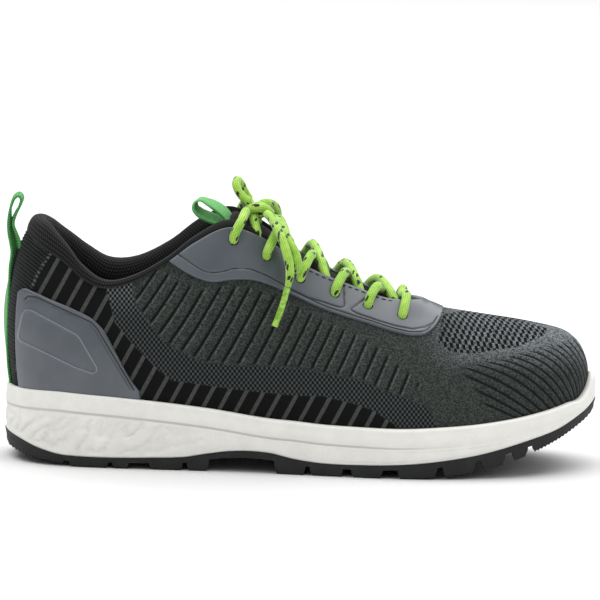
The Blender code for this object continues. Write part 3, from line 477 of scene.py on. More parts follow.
rib_relief = RIB_FACE - RIB_GROOVE * dip(rib_phase, 0.11) + RIB_RIDGE * dip(rib_phase + RIB_EDGE, 0.12)
on_stripe = ease(np.abs(stripe_phase - np.round(stripe_phase)), 0.14, 0.09)
lift = ease(ribs, -2, 6) * rib_relief
lift += ease(toe, -1, 5) * ease(pixel_x, *TOE_FADE) * (TOE_FACE - TOE_GROOVE * dip(toe_phase, 0.17))
lift -= ease(vamp, -1, 3) * HOLE_DEPTH * ease(holes, 0.0, 0.5)
lift -= ease(band, -2, 2) * BAND_DEPTH
lift += ease(panel, 0, 3) * ease(heel, 3, 0) * STRIPE_HEIGHT * on_stripe
lift += ease(heel, -1, 2) * HEEL_RIB_HEIGHT * np.cos(2 * math.pi * heel_phase)
wall_points = wall_points + directions(columns, outer_shares)[1] * (lift * MM)[..., None]
inner_shares = np.linspace(1, 0, 9)[:, None] * np.ones(len(columns))
lining_points = skin(columns, inner_shares, np.full(inner_shares.shape, -WALL))
upper_points = np.concatenate([wall_points, lining_points])
inner_fill = np.zeros(lining_points.shape[:2])
upper_marks = dict(band=band, panel=panel, ribs=ribs, rib_phase=rib_phase, stripe=stripe_phase, vamp=vamp,
                   hole_a=hole_a, hole_b=hole_b, toe=toe, toe_phase=toe_phase, heel=heel,
                   heel_phase=heel_phase, heel_seam=heel_seam, pixel_x=pixel_x, pixel_y=pixel_y)
upper_marks = {name: np.concatenate([values, inner_fill]) for name, values in upper_marks.items()}
upper_marks["inside"] = np.concatenate([np.zeros(wall_points.shape[:2]), inner_fill + 1])
closed_front = np.abs(columns) >= THROAT_FRONT - 1e-6
left_open = np.zeros((len(upper_points), len(columns)), bool)
left_open[len(wall_points) - 1] = closed_front & np.roll(closed_front, -1)
upper_mesh = quilt("knit_upper", upper_points, ring=True, loop=True, skip=left_open, marks=upper_marks,
                   weld=0.01 * MM)


class Shade:
    """A value in a material. Arithmetic on it adds Math nodes, and node() adds any other node."""

    def __init__(self, tree, socket=None):
        self.tree = tree
        self.socket = socket

    def node(self, kind, sockets=None, output=0, **settings):
        """Adds a node: its settings first, then the values or links of its sockets."""
        made = self.tree.nodes.new(kind)
        for name, value in settings.items():
            setattr(made, name, value)
        for name, value in (sockets or {}).items():
            if isinstance(value, Shade):
                self.tree.links.new(value.socket, made.inputs[name])
            else:
                made.inputs[name].default_value = value
        return Shade(self.tree, made.outputs[output])

    def math(self, operation, *values):
        """A Math node on some values."""
        return self.node("ShaderNodeMath", dict(enumerate(values)), operation=operation)

    def __add__(self, other):
        return self.math("ADD", self, other)

    def __radd__(self, other):
        return self.math("ADD", other, self)

    def __sub__(self, other):
        return self.math("SUBTRACT", self, other)

    def __rsub__(self, other):
        return self.math("SUBTRACT", other, self)

    def __mul__(self, other):
        return self.math("MULTIPLY", self, other)

    def __rmul__(self, other):
        return self.math("MULTIPLY", other, self)

    def __truediv__(self, other):
        return self.math("DIVIDE", self, other)

    def __rtruediv__(self, other):
        return self.math("DIVIDE", other, self)

    def cos(self):
        """The cosine."""
        return self.math("COSINE", self)

    def from_whole(self):
        """The distance to the nearest whole number."""
        return self.math("PINGPONG", self, 0.5)

    def most(self, other):
        """The larger of two values."""
        return self.math("MAXIMUM", self, other)

    def step(self, low, high):
        """A soft step from 0 at low to 1 at high."""
        return self.node("ShaderNodeMapRange", {"Value": self, "From Min": low, "From Max": high},
                         interpolation_type="SMOOTHSTEP")

    def mark(self, name):
        """A named value of the mesh."""
        return self.node("ShaderNodeAttribute", output="Fac", attribute_name=name)

    def blend(self, first, second):
        """The colour first where this value is 0, and second where it is 1."""
        first, second = (c if isinstance(c, Shade) else (*c, 1) for c in (first, second))
        return self.node("ShaderNodeMix", {0: self, 6: first, 7: second}, output=2, data_type="RGBA")

    def place(self):
        """The point in the shoe's own frame."""
        return self.node("ShaderNodeTexCoord", output="Object")

    def noise(self, size, detail=2.0):
        """Cloudy noise with features of a size, from 0 to 1."""
        return self.node("ShaderNodeTexNoise", {"Vector": self.place(), "Scale": 1 / size, "Detail": detail})

    def grains(self, size, output="Distance"):
        """Round grains of a size: their distance or their colour."""
        return self.node("ShaderNodeTexVoronoi", {"Vector": self.place(), "Scale": 1 / size}, output=output)

    def waves(self, pitch):
        """The cosine of this value, with one wave to each pitch."""
        return (self * (2 * math.pi / pitch)).cos()

    def bump(self, distance, strength=1.0):
        """A normal from this height."""
        return self.node("ShaderNodeBump", {"Height": self, "Distance": distance, "Strength": strength})


def finish(name, **constants):
    """A new material: its tree of values and its shader, with the constant sockets set."""
    material = bpy.data.materials.new(name)
    material.use_nodes = True
    shader = material.node_tree.nodes["Principled BSDF"]
    for socket, value in constants.items():
        shader.inputs[socket.replace("_", " ").title().replace("Ior", "IOR")].default_value = value
    return material, Shade(material.node_tree), shader


def feed(shader, **sockets):
    """Links values to the sockets of a shader."""
    for socket, value in sockets.items():
        value.tree.links.new(value.socket, shader.inputs[socket.replace("_", " ").title()])


def srgb(red, green, blue):
    """A colour from its 0 to 255 values on screen."""
    levels = (value / 255 for value in (red, green, blue))
    return tuple(((c + 0.055) / 1.055) ** 2.4 if c > 0.04 else c / 12.92 for c in levels)


def knit_finish():
    """Heathered knit of two yarns, with the colours of its zones and painted light and shade."""
    material, make, shader = finish("knit", roughness=0.92, specular_ior_level=0.2, sheen_weight=0.06,
                                    sheen_roughness=0.45, sheen_tint=(0.82, 0.92, 1.0, 1))
    yarn = make.grains(0.55 * MM, output="Color")
    speck = make.node("ShaderNodeSeparateColor", {"Color": yarn}) * 0.5 + make.noise(0.9 * MM) * 0.5
    loops = make.grains(0.7 * MM)
    heather_and_sheen = speck.step(0.28, 0.80).blend(srgb(35, 39, 36), srgb(68, 73, 70))
    # Paler over the top of the vamp: paler yarn, and a painted sheen of the top light on it
    sheen_on_vamp_top = make.mark("pixel_x").step(*PALE_COLUMNS) * make.mark("pixel_y").step(*PALE_LINES)
    pale = speck.step(0.25, 0.75).blend(srgb(60, 64, 66), srgb(144, 149, 153))
    heather_and_sheen = (sheen_on_vamp_top * 0.75).blend(heather_and_sheen, pale)

    ribbed = make.mark("ribs").step(-1, 4)
    groove = ribbed * make.mark("rib_phase").from_whole().step(0.15, 0.05)
    # A painted highlight along the raised edge of each rib, on the toe side of its groove
    rib_edge_highlight = ribbed * (make.mark("rib_phase") + RIB_EDGE).from_whole().step(0.12, 0.02)
    toe_groove = make.mark("toe").step(-1, 6) * make.mark("toe_phase").from_whole().step(0.24, 0.06)
    # Painted shade: the rib and toe grooves darkened nearly to black
    shade = groove.most(toe_groove)
    colour = (rib_edge_highlight * speck.step(0.2, 0.7) * 0.5).blend(heather_and_sheen, srgb(112, 116, 114))
    colour = (shade * 0.9).blend(colour, srgb(12, 13, 12))

    lattice = make.mark("pixel_x").waves(NET_COLUMNS) * make.mark("pixel_y").waves(NET_LINES)
    open_net = make.mark("band").step(-0.8, 0.8)
    # The net's strands are paler higher up: painted top light
    lit_strand = make.mark("pixel_y").step(*NET_LIT_LINES).blend(srgb(66, 71, 72), srgb(104, 109, 109))
    # The holes of the net are painted near black: the black lining seen through them, and painted shade in
    # them
    net = lattice.step(-0.25, 0.15).blend(lit_strand, srgb(11, 11, 11))
    colour = open_net.blend(colour, net)

    stripe = make.mark("stripe").from_whole().step(0.145, 0.115) * make.mark("heel").step(0, -2)
    down_seam = make.mark("pixel_x") * HEEL_SEAM_RUN[0] + make.mark("pixel_y") * HEEL_SEAM_RUN[1]
    seam = make.mark("heel_seam").step(2.0, 0.9) * (down_seam / HEEL_STITCH).from_whole().step(0.12, 0.24)
    seam = seam * make.noise(1.5 * MM).step(0.3, 0.5)
    black = (speck * 0.7).blend(srgb(4, 5, 4), srgb(14, 15, 14))
    fine_rib = make.mark("heel").step(-1, 1) * (make.mark("heel_phase").waves(1) * 0.5 + 0.5)
    black = fine_rib.step(0.35, 0.95).blend(black, srgb(40, 43, 42))
    panel = (stripe * (0.3 + make.noise(1.2 * MM) * 0.8)).most(seam).blend(black, srgb(80, 83, 79))
    colour = make.mark("panel").step(-0.6, 0.6).blend(colour, panel)

    # The vamp's holes are painted near black: the black lining seen through them, and painted shade in them
    hole = (make.mark("hole_a").waves(1) * make.mark("hole_b").waves(2)).step(-0.10, 0.12)
    hole = hole * make.mark("vamp").step(-0.5, 1.0)
    colour = hole.blend(colour, srgb(7, 7, 8))
    relief = (1 - loops) * 0.5 - hole * 1.2 - shade * 0.6 - open_net * lattice.step(0, 0.5) * 0.8
    feed(shader, base_color=colour, normal=(relief + stripe * 0.3).bump(0.35 * MM, 0.8))
    return material


def lining_finish():
    """Black mesh lining, a fine honeycomb of thread."""
    material, make, shader = finish("lining", roughness=0.95, specular_ior_level=0.2)
    cells = make.grains(1.6 * MM)
    feed(shader, base_color=cells.step(0.1, 0.5).blend(srgb(34, 35, 35), srgb(14, 14, 14)),
         normal=cells.bump(0.3 * MM))
    return material


knit = knit_finish()
lining = lining_finish()
upper_mesh.materials.append(knit)
upper_mesh.materials.append(lining)
inside = upper_mesh.attributes["inside"].data
for polygon in upper_mesh.polygons:
    polygon.material_index = int(all(inside[vertex].value > 0.5 for vertex in polygon.vertices))
upper = piece("knit_upper", upper_mesh, knit, "knit", "upper")

# Moulded overlays: the eyestay along both sides of the throat and the counters round the heel, thin satin
# plastic pressed and fused onto the knit, with a rounded edge and pressed lines. The eyelets are punched.
OVERLAY_FOOT = 0.1 * MM
OVERLAY_THICK = 1.5 * MM
OVERLAY_ROUND = 0.9 * MM
OVERLAY_WELD = 0.02 * MM
EDGE_ROWS = np.array([0, 0.08, 0.25, 0.5, 0.9, 1.5]) * MM
NO_LINE = 99.0
LINE_WIDTH, LINE_DEPTH, BEAD_HEIGHT = 0.9, 0.4 * MM, 0.25 * MM
FRONT_ROUND, FRONT_THINNER, FRONT_FADE = 7.0 * MM, 0.75, 0.05
FRONT_CLOSING = 5.0 * MM
FRONT_RISE = 1.6 * MM
RISE_STATIONS, FALL_STATIONS = (0.600, 0.645), (0.690, 0.650)
RISE_REACH = (15.0 * MM, 2.0 * MM)
EYELET_RADIUS = 2.6 * MM
EYELETS = (0.381, 0.436, 0.493, 0.552, 0.609, 0.668)
EYELETS_BELOW_EDGE = (7.0, 9.0, 9.0, 9.0, 9.4, 12.0)
EYESTAY_EDGE = table(
    "along height",
    (0.275, 102.5),
    (0.311, 96.4),
    (0.346, 93.2),
    (0.384, 94.4),
    (0.417, 94.0),
    (0.464, 89.2),
    (0.528, 80.7),
    (0.609, 73.0),
    (0.660, 68.7),
    (0.686, 67.5),
    (0.710, 68.6),
    (0.724, 72.0),
    (0.734, 76.5),
    (0.742, 83.0),
)
EYESTAY_ROWS = np.array([0, 0.08, 0.25, 0.5, 0.8, 1.05, 1.25, 1.4, 1.5, 1.6, 1.75, 1.95, 2.3, 2.8]) * MM
EYESTAY_RIM = 1.5 * MM
EYESTAY_STATIONS, EYESTAY_TIP = (0.33, 0.76), 0.992
EYESTAY_LINES = (
    ((172, 250), (180, 256), (196, 267), (205, 272), (213, 273), (222, 272), (233, 269), (242, 269),
     (251, 270), (266, 276), (280, 284), (294, 292), (306, 298), (321, 303), (339, 309), (343, 308),
     (344, 305), (343, 287)),
    ((364, 301), (351, 310), (351, 312), (356, 315), (379, 323), (396, 328), (412, 331), (425, 329),
     (433, 325), (437, 319)),
)
FADED = 4.0
RIM_LINE_START = (290, 262)
RIM_LINE_END_COLUMNS, RIM_LINE_END_LINES = (422, 432), (320, 310)
COUNTER_EDGE = table(
    "along height",
    (0.020, 83.2),
    (0.035, 86.4),
    (0.051, 85.5),
    (0.079, 82.6),
    (0.122, 77.8),
    (0.157, 72.0),
    (0.169, 68.4),
    (0.190, 57.8),
    (0.216, 44.4),
    (0.234, 37.6),
)
COUNTER_BACK, COUNTER_FRONT = 0.061, 0.262
COUNTER_TUCK, COUNTER_LEAST = 0.4 * MM, 0.004
RIDGE_FAINTER = 0.55
COUNTER_BORDER = ((27, 299), (30, 296), (38, 297), (63, 309), (91, 322), (97, 328), (114, 356), (134, 389))
COUNTER_RIDGE = ((28, 303), (31, 300), (38, 300), (62, 311), (89, 324), (95, 330), (112, 358), (131, 389))
COUNTER_BEAD = ((21, 334), (25, 314), (28, 310), (33, 310), (76, 334), (80, 338), (97, 367), (97, 371),
                (93, 373), (76, 367), (24, 341), (21, 338), (21, 334))


def height_line(line):
    """A line drawn on the side of the shoe, as a height for each x."""
    return lambda x: smooth(line["along"], line["height"], x / LENGTH + 0.5) * MM


def rows_between(q, low, high, low_rows, middle, high_rows):
    """Shares of each section from low to high: rows at set distances from both ends, even ones between."""
    shares = low + (high - low) * np.linspace(0, 1, 80)[:, None]
    up = run_along(section(q, shares))
    made = []
    for c, total in enumerate(up[-1]):
        squeeze = min(1.0, 0.9 * total / (low_rows[-1] + high_rows[-1]))
        near = low_rows * squeeze
        far = total - high_rows[::-1] * squeeze
        places = np.concatenate([near, np.linspace(near[-1], far[0], middle + 2)[1:-1], far])
        made.append(np.interp(places, up[:, c], shares[:, c]))
    return np.array(made).T


def reach_to(points, line):
    """Distance of each point to the nearest of a line of points."""
    tree = kdtree.KDTree(len(line))
    for i, spot in enumerate(line):
        tree.insert(spot, i)
    tree.balance()
    return np.array([tree.find(spot)[2] for spot in points.reshape(-1, 3)]).reshape(points.shape[:-1])


def press(gap, width):
    """1 on a pressed line and 0 past its half width."""
    return np.exp(-((gap / width) ** 2))


def overlay(name, q, shares, edge, off_groove, off_bead, front=None):
    """A pressed sheet over the knit with a rounded edge.

    off_groove and off_bead are distances to its pressed and raised lines in picture pixels. front says which
    columns lie past the throat, where the two halves of the eyestay meet and stand a little higher.
    """
    base = section(q, shares)
    face = directions(q, shares)[1]
    to_edge = reach_to(base, edge)
    rim = 1 - np.clip(to_edge / OVERLAY_ROUND, 0, 1)
    thick = OVERLAY_THICK
    if front is not None:
        station, to_ridge = np.abs(q), reach_to(base, base[-1])
        ridge_face = unit(directions(q, 1.0)[1] + directions(-q, 1.0)[1])
        closing = front * ease(to_ridge, FRONT_CLOSING, 0)
        face = unit(face + (ridge_face - face) * closing[..., None])
        thinner = FRONT_THINNER * ease(station, THROAT_FRONT, THROAT_FRONT + FRONT_FADE)
        risen = ease(station, *RISE_STATIONS) * ease(station, *FALL_STATIONS)
        thick = OVERLAY_THICK * (1 - thinner * ease(to_edge, FRONT_ROUND, 0))
        thick = thick + FRONT_RISE * risen * ease(to_ridge, *RISE_REACH)
    relief = BEAD_HEIGHT * press(off_bead, LINE_WIDTH) - LINE_DEPTH * press(off_groove, LINE_WIDTH)
    height = OVERLAY_FOOT + thick * np.sqrt(1 - rim**2) + relief * (1 - rim)
    over = base + face * height[..., None]
    back = np.linspace(len(shares) - 1, 0, 7).astype(int)
    under = base[back] + face[back] * OVERLAY_FOOT
    skip = np.zeros((len(over) + len(under), len(q) - 1), bool)
    if front is not None:
        skip[len(over) - 1] = front[1:] & front[:-1]
    far = np.full(under.shape[:2], NO_LINE)
    marks = {"groove": np.concatenate([off_groove, far]), "bead": np.concatenate([off_bead, far])}
    return quilt(name, np.concatenate([over, under]), loop=True, skip=skip, marks=marks)


def joined(name, meshes, weld=1e-7, turn_out=False):
    """Several meshes in one, with the points they share joined, and every face turned out if asked."""
    work = bmesh.new()
    for mesh in meshes:
        work.from_mesh(mesh)
    bmesh.ops.remove_doubles(work, verts=work.verts, dist=weld)
    bmesh.ops.dissolve_degenerate(work, edges=work.edges, dist=weld / 4)
    if turn_out:
        bmesh.ops.recalc_face_normals(work, faces=work.faces)
    whole = bpy.data.meshes.new(name)
    work.to_mesh(whole)
    work.free()
    return whole


def plastic_finish():
    """Satin grey plastic with a faint grain, and painted shade in its pressed lines."""
    material, make, shader = finish("moulded_plastic", roughness=0.4, specular_ior_level=0.5,
                                    coat_weight=0.3, coat_roughness=0.3)
    cloud = make.noise(18 * MM, 3.0)
    grain = make.noise(0.5 * MM)
    body = cloud.step(0.3, 0.7).blend(srgb(76, 82, 89), srgb(86, 92, 99))
    # A painted highlight on the raised bead of the counters
    body = (make.mark("bead").step(0.9, 0.3) * 0.6).blend(body, srgb(140, 145, 152))
    # Painted shade: the pressed lines darkened nearly to black
    line = make.mark("groove").step(1.1, 0.5)
    feed(shader, base_color=line.blend(body, srgb(26, 28, 31)), roughness=0.3 + cloud * 0.08,
         normal=grain.bump(0.03 * MM, 0.5))
    return material


def eyestay_grooves(base, low_edge):
    """Distance to the panel lines, and to the line along the rim past the rear panel, in picture pixels."""
    seen = picture(base)
    off_rim = np.abs(reach_to(base, low_edge) - EYESTAY_RIM) * PICTURE / VIEW_WIDTH
    off_rim += FADED * ease(seen[..., 0], *RIM_LINE_START)
    off_rim += FADED * ease(seen[..., 1], *RIM_LINE_END_LINES) * ease(seen[..., 0], *RIM_LINE_END_COLUMNS)
    return np.min([off_rim] + [gap_to(seen, line) for line in EYESTAY_LINES], axis=0)


plastic = plastic_finish()
halves = []
for side in (-1, 1):
    q = np.sort(side * np.unique(np.concatenate([np.linspace(*EYESTAY_STATIONS, 360), [THROAT_FRONT]])))
    low = share_at(q, height_line(EYESTAY_EDGE))
    q, low = q[low < EYESTAY_TIP], low[low < EYESTAY_TIP]
    shares = rows_between(q, low, np.ones(len(q)), EYESTAY_ROWS, 46, EDGE_ROWS)
    base = section(q, shares)
    past_throat = np.abs(q) >= THROAT_FRONT - 1e-6
    eyestay_edge = np.concatenate([base[0], base[-1][~past_throat], base[:, np.abs(q).argmax()]])
    halves.append(overlay("eyestay", q, shares, eyestay_edge, eyestay_grooves(base, base[0]),
                          np.full(shares.shape, NO_LINE), past_throat))
eyestay = piece("moulded_eyestay", joined("moulded_eyestay", halves, OVERLAY_WELD), plastic,
                "overlay_plastic", "eyestay")

for side, name in ((-1, "outer"), (1, "inner")):
    q = side * np.linspace(COUNTER_BACK, COUNTER_FRONT, 170)[::side]
    low = share_at(q, lambda x: sole_height("rim", x) - COUNTER_TUCK)
    high = np.maximum(share_at(q, height_line(COUNTER_EDGE)), low + COUNTER_LEAST)
    shares = rows_between(q, low, high, EDGE_ROWS, 70, EDGE_ROWS)
    base = section(q, shares)
    seen = picture(base)
    counter_edge = np.concatenate([base[0], base[-1], base[:, 0], base[:, -1]])
    off_groove = np.minimum(gap_to(seen, COUNTER_BORDER), gap_to(seen, COUNTER_RIDGE) + RIDGE_FAINTER)
    sheet = overlay(name, q, shares, counter_edge, off_groove, gap_to(seen, COUNTER_BEAD))
    piece("moulded_counter_" + name, joined("moulded_counter_" + name, [sheet], OVERLAY_WELD), plastic,
          "overlay_plastic", "heel_counter_" + name)

# Eyelets: plain holes punched through the eyestay and the knit, six on each side of the throat. Nothing lines
# them, so the cut edge of the plastic shows.
PUNCH_DEPTH = 9.0 * MM
throat_samples = np.linspace(0.40, THROAT_FRONT, 200)
eyelet_stations = np.interp((np.array(EYELETS) - 0.5) * LENGTH, section(-throat_samples, 1.0)[:, 0],
                            throat_samples)


def eyelet_share(side, row, nearer=0.0):
    """The share of a section where the eyelet of a row is punched, or a distance nearer to the edge."""
    return share_below_edge(side * eyelet_stations[row], EYELETS_BELOW_EDGE[row] * MM - nearer)


def combine(item, tool_mesh, operation, sharp):
    """Cuts a tool out of a piece or joins it on, with edges sharper than an angle left sharp."""
    tool = bpy.data.objects.new("tool", tool_mesh)
    bpy.context.scene.collection.objects.link(tool)
    change = item.modifiers.new("combine", "BOOLEAN")
    change.operation = operation
    change.solver = "EXACT"
    change.object = tool
    bpy.context.view_layer.update()
    whole = bpy.data.meshes.new_from_object(item.evaluated_get(bpy.context.evaluated_depsgraph_get()))
    item.modifiers.clear()
    item.data = whole
    whole.set_sharp_from_angle(angle=math.radians(sharp))
    bpy.data.objects.remove(tool)


punch = bmesh.new()
for side in (-1, 1):
    for row, station in enumerate(eyelet_stations):
        q = side * station
        v = eyelet_share(side, row)
        turned = Vector(directions(q, v)[1]).to_track_quat("Z", "Y").to_matrix().to_4x4()
        bmesh.ops.create_cone(punch, cap_ends=True, segments=24, radius1=EYELET_RADIUS, radius2=EYELET_RADIUS,
                              depth=PUNCH_DEPTH, matrix=Matrix.Translation(Vector(section(q, v))) @ turned)
punch_mesh = bpy.data.meshes.new("eyelet_punch")
punch.to_mesh(punch_mesh)
punch.free()
combine(upper, punch_mesh, "DIFFERENCE", 50)
combine(eyestay, punch_mesh, "DIFFERENCE", 50)

# Stitches: a row of black sewing thread along the throat edge of the eyestay, sewn over and under, and a bar
# tack of grey thread on each side of its front end
STITCH, STITCH_GAP, STITCH_RADIUS, STITCH_BELOW_EDGE = 2.3 * MM, 1.3 * MM, 0.32 * MM, 2.4 * MM
STITCH_SHAPE = np.array([0.3, 0.9, 1, 0.9, 0.3])
SEAM_BEHIND_EYELET, SEAM_BEHIND_FRONT = 0.012, 0.004
THREAD_LIFT = OVERLAY_FOOT + OVERLAY_THICK + 0.1 * MM
TACK_ROWS = np.arange(0.6, 4.0, 0.7) * MM
TACK_ENDS = ((0.001, 0.0 * MM), (0.010, 0.9 * MM))
TACK_RADIUS = 0.22 * MM


def round_path(points, steps):
    """More points on a smooth path through a few."""
    points = np.asarray(points, float)
    lengths = np.linalg.norm(np.diff(points, axis=0), axis=1)
    places = np.concatenate([[0], np.cumsum(np.maximum(lengths, 1e-6))])
    at = np.linspace(0, places[-1], steps)
    return np.stack([smooth(places, points[:, i], at) for i in range(3)], axis=-1)


def tube(name, path, radius, sides):
    """A cord mesh along a path, marked with the length along it and the turn round it."""
    path = np.asarray(path, float)
    radius = np.broadcast_to(np.asarray(radius, float), len(path))
    run = unit(np.gradient(path, axis=0))
    across = unit(np.cross(run[0], [0.13, 0.25, 0.96]))
    turns = np.linspace(0, 2 * math.pi, sides, endpoint=False)[:, None]
    rings = []
    for spot, ahead, size in zip(path, run, radius):
        across = unit(across - ahead * np.dot(across, ahead))
        lift = np.cross(across, ahead)
        rings.append(spot + size * (across * np.cos(turns) + lift * np.sin(turns)))
    mesh = quilt(name, np.array(rings).transpose(1, 0, 2), loop=True, caps=True)
    length = run_along(path) / MM
    r, c = np.meshgrid(np.arange(sides), np.arange(len(path) - 1), indexing="ij")
    corners = {"along": length[np.stack([c, c, c + 1, c + 1], axis=-1)],
               "turn": np.stack([r, r + 1, r + 1, r], axis=-1) / sides}
    for label, values in corners.items():
        layer = mesh.attributes.new(label, "FLOAT", "CORNER")
        values = np.concatenate([values.ravel(), np.zeros(2 * sides)])
        layer.data.foreach_set("value", values.astype(np.float32))
    return mesh


stitches = []
for side in (-1, 1):
    seam_ends = eyelet_stations[2] - SEAM_BEHIND_EYELET, THROAT_FRONT - SEAM_BEHIND_FRONT
    seam_q = side * np.linspace(*seam_ends, 240)
    seam_v = np.array([share_below_edge(q, STITCH_BELOW_EDGE) for q in seam_q])
    seam = skin(seam_q, seam_v, np.full(len(seam_q), THREAD_LIFT))
    seam_run = run_along(seam)
    for start in np.arange(0, seam_run[-1] - STITCH, STITCH + STITCH_GAP):
        places = np.linspace(start, start + STITCH, len(STITCH_SHAPE))
        path = np.stack([np.interp(places, seam_run, seam[:, i]) for i in range(3)], axis=-1)
        stitches.append(tube("stitch", path, STITCH_RADIUS * STITCH_SHAPE, 6))

bartack = []
for side in (-1, 1):
    for below in TACK_ROWS:
        ends = []
        for ahead, lower in TACK_ENDS:
            q = side * (THROAT_FRONT + ahead)
            ends.append(skin(q, share_below_edge(q, below + lower), THREAD_LIFT))
        bartack.append(tube("tack", round_path(ends, len(STITCH_SHAPE)), TACK_RADIUS * STITCH_SHAPE, 6))


def thread_finish(name, dark, light):
    """Sewing thread."""
    material, make, shader = finish(name, roughness=0.7)
    feed(shader, base_color=make.noise(0.4 * MM).blend(dark, light))
    return material


black_thread = thread_finish("black_thread", srgb(12, 12, 13), srgb(30, 30, 32))
grey_thread = thread_finish("grey_thread", srgb(150, 154, 158), srgb(198, 200, 202))
piece("throat_stitches", joined("throat_stitches", stitches), black_thread, "collar_cloth")
piece("throat_bartack", joined("throat_bartack", bartack), grey_thread, "collar_cloth")

# Collar: a soft padded roll of black knitted cloth round the ankle opening. It is turned over the edge of the
# wall, sewn down inside, and thins out along the throat.
PADDING = table(
    "station crest pad depth cover",
    (0.000, 4.6, 7.0, 24.0, 5.5),
    (0.047, 4.5, 7.5, 25.0, 7.0),
    (0.094, 4.4, 8.0, 26.0, 8.5),
    (0.150, 4.2, 8.2, 26.0, 6.0),
    (0.190, 3.8, 8.4, 26.0, 3.6),
    (0.232, 3.3, 8.5, 26.0, 1.4),
    (0.280, 3.3, 7.6, 22.0, 0.7),
    (0.329, 3.5, 6.5, 18.0, 0.5),
    (0.380, 4.2, 4.6, 9.0, 0.4),
    (0.412, 4.4, 3.0, 4.5, 0.3),
    (0.440, 3.6, 2.6, 3.5, 0.2),
    (0.470, 2.8, 2.2, 3.0, 0.2),
    (0.492, 1.0, 1.6, 2.5, 0.1),
)
COLLAR_CLEAR = 0.6 * MM
COVER_THICK, COVER_FOOT, LINING_THICK = 1.1 * MM, 0.2 * MM, 0.8 * MM


def collar_section(q):
    """The outline of the padded roll at q: up over the knit outside, over the crest and down inside."""
    crest, pad, depth, cover = (float(smooth(PADDING["station"], PADDING[name], abs(q))) * MM
                                for name in ("crest", "pad", "depth", "cover"))
    edge = section(q, 1.0)
    up, face = directions(q, 1.0)
    inside = -WALL - COLLAR_CLEAR
    shares = [share_below_edge(q, depth * part) for part in (0.15, 0.55, 1.0)]
    foot, side = share_below_edge(q, cover), share_below_edge(q, cover * 0.5)
    return [
        skin(q, foot, COVER_FOOT),
        skin(q, side, COVER_THICK),
        edge + up * 0.45 * crest + face * COVER_THICK,
        edge + up * crest - face * 0.30 * pad,
        edge + up * 0.70 * crest - face * 0.85 * pad,
        skin(q, shares[0], inside - pad),
        skin(q, shares[1], inside - 0.75 * pad),
        skin(q, shares[2], inside - LINING_THICK),
        skin(q, shares[2], inside),
        skin(q, shares[1], inside),
        skin(q, shares[0], inside),
        edge + up * 0.3 * MM + face * inside,
        edge + up * 0.4 * MM - face * 0.3 * MM,
    ]


def rounded_ring(points, count):
    """More points on a smooth closed line through a few."""
    points = np.asarray(points)
    wrapped = np.concatenate([points[-3:], points, points[:3]])
    places = run_along(wrapped)
    at = np.linspace(places[3], places[3 + len(points)], count, endpoint=False)
    return np.stack([smooth(places, wrapped[:, i], at) for i in range(3)], axis=-1)


def rows_of_loops(make, cell):
    """Loops of a knit in staggered rows along two marks of the mesh: 0 at the middle of each loop."""
    row = make.mark("across") / cell
    shifted = make.mark("around") / cell + make.math("FLOOR", row) * 0.5
    a, b = shifted.from_whole(), (row + 0.5).from_whole()
    return make.math("SQRT", a * a + b * b) + (make.noise(0.6 * MM) - 0.5) * 0.3


def cloth_finish(name, dark, light, cell):
    """Soft black cloth, knitted in rows of small loops."""
    material, make, shader = finish(name, roughness=0.9, specular_ior_level=0.2, sheen_weight=0.06)
    loops = rows_of_loops(make, cell)
    feed(shader, base_color=loops.step(0.12, 0.5).blend(light, dark),
         normal=(1 - loops).bump(0.3 * MM, 0.8))
    return material


def cloth_marks(points):
    """Lengths along the rows and down the columns of a grid of points, to lay a knit on it."""
    lengths = []
    for axis in (1, 0):
        steps = np.linalg.norm(np.diff(points, axis=axis), axis=-1).mean(axis=1 - axis)
        line = np.concatenate([[0], np.cumsum(steps)])
        lengths.append(np.broadcast_to(line if axis == 1 else line[:, None], points.shape[:2]))
    return {"around": lengths[0], "across": lengths[1]}


collar_q = np.linspace(-PADDING["station"][-1], PADDING["station"][-1], 340)
collar_points = np.array([rounded_ring(collar_section(q), 56) for q in collar_q]).transpose(1, 0, 2)
collar_mesh = quilt("padded_collar", collar_points, loop=True, caps=True, marks=cloth_marks(collar_points))
collar_cloth = cloth_finish("collar_cloth", srgb(8, 9, 8), srgb(46, 49, 47), 1.5 * MM)
collar = piece("padded_collar", collar_mesh, collar_cloth, "collar_cloth", "collar")

# Tongue: a padded sheet of black knitted cloth under the laces. Its wings are held inside the wall, and its
# top edge is rounded.
TONGUE_THICK = 3.5 * MM
TONGUE_UNDER_WALL = 0.9 * MM
TONGUE_SUNK_EDGE = 0.8 * MM
TONGUE_FRONT, TONGUE_BACK = 0.69, 0.435
WING_LOW, WING_HIGH = 0.78, 0.95
TONGUE_TOP = table(
    "distance width sink",
    (0.0, 1.00, 0.0),
    (2.2, 0.93, 0.5),
    (4.0, 0.80, 1.8),
    (5.2, 0.62, 3.6),
)


def tongue_row(station, wing=(WING_LOW, 0.84, 0.90, WING_HIGH), arch=(0.2, 0.4, 0.6, 0.8)):
    """One row across the tongue: outer wing, arch and inner wing."""
    shares = np.array(wing)
    wings, ends = {}, {}
    for side in (-1, 1):
        wings[side] = skin(side * station, shares, np.full(len(shares), -WALL - TONGUE_UNDER_WALL))
        ends[side] = directions(side * station, shares[-1])[0]
    a, b = wings[-1][-1], wings[1][-1]
    reach = 0.31 * np.linalg.norm(b - a)
    u = np.array(arch)[:, None]
    over = ((1 - u) ** 3 * a + 3 * u * (1 - u) ** 2 * (a + ends[-1] * reach)
            + 3 * u**2 * (1 - u) * (b + ends[1] * reach) + u**3 * b)
    return np.concatenate([wings[-1], over, wings[1][::-1]])


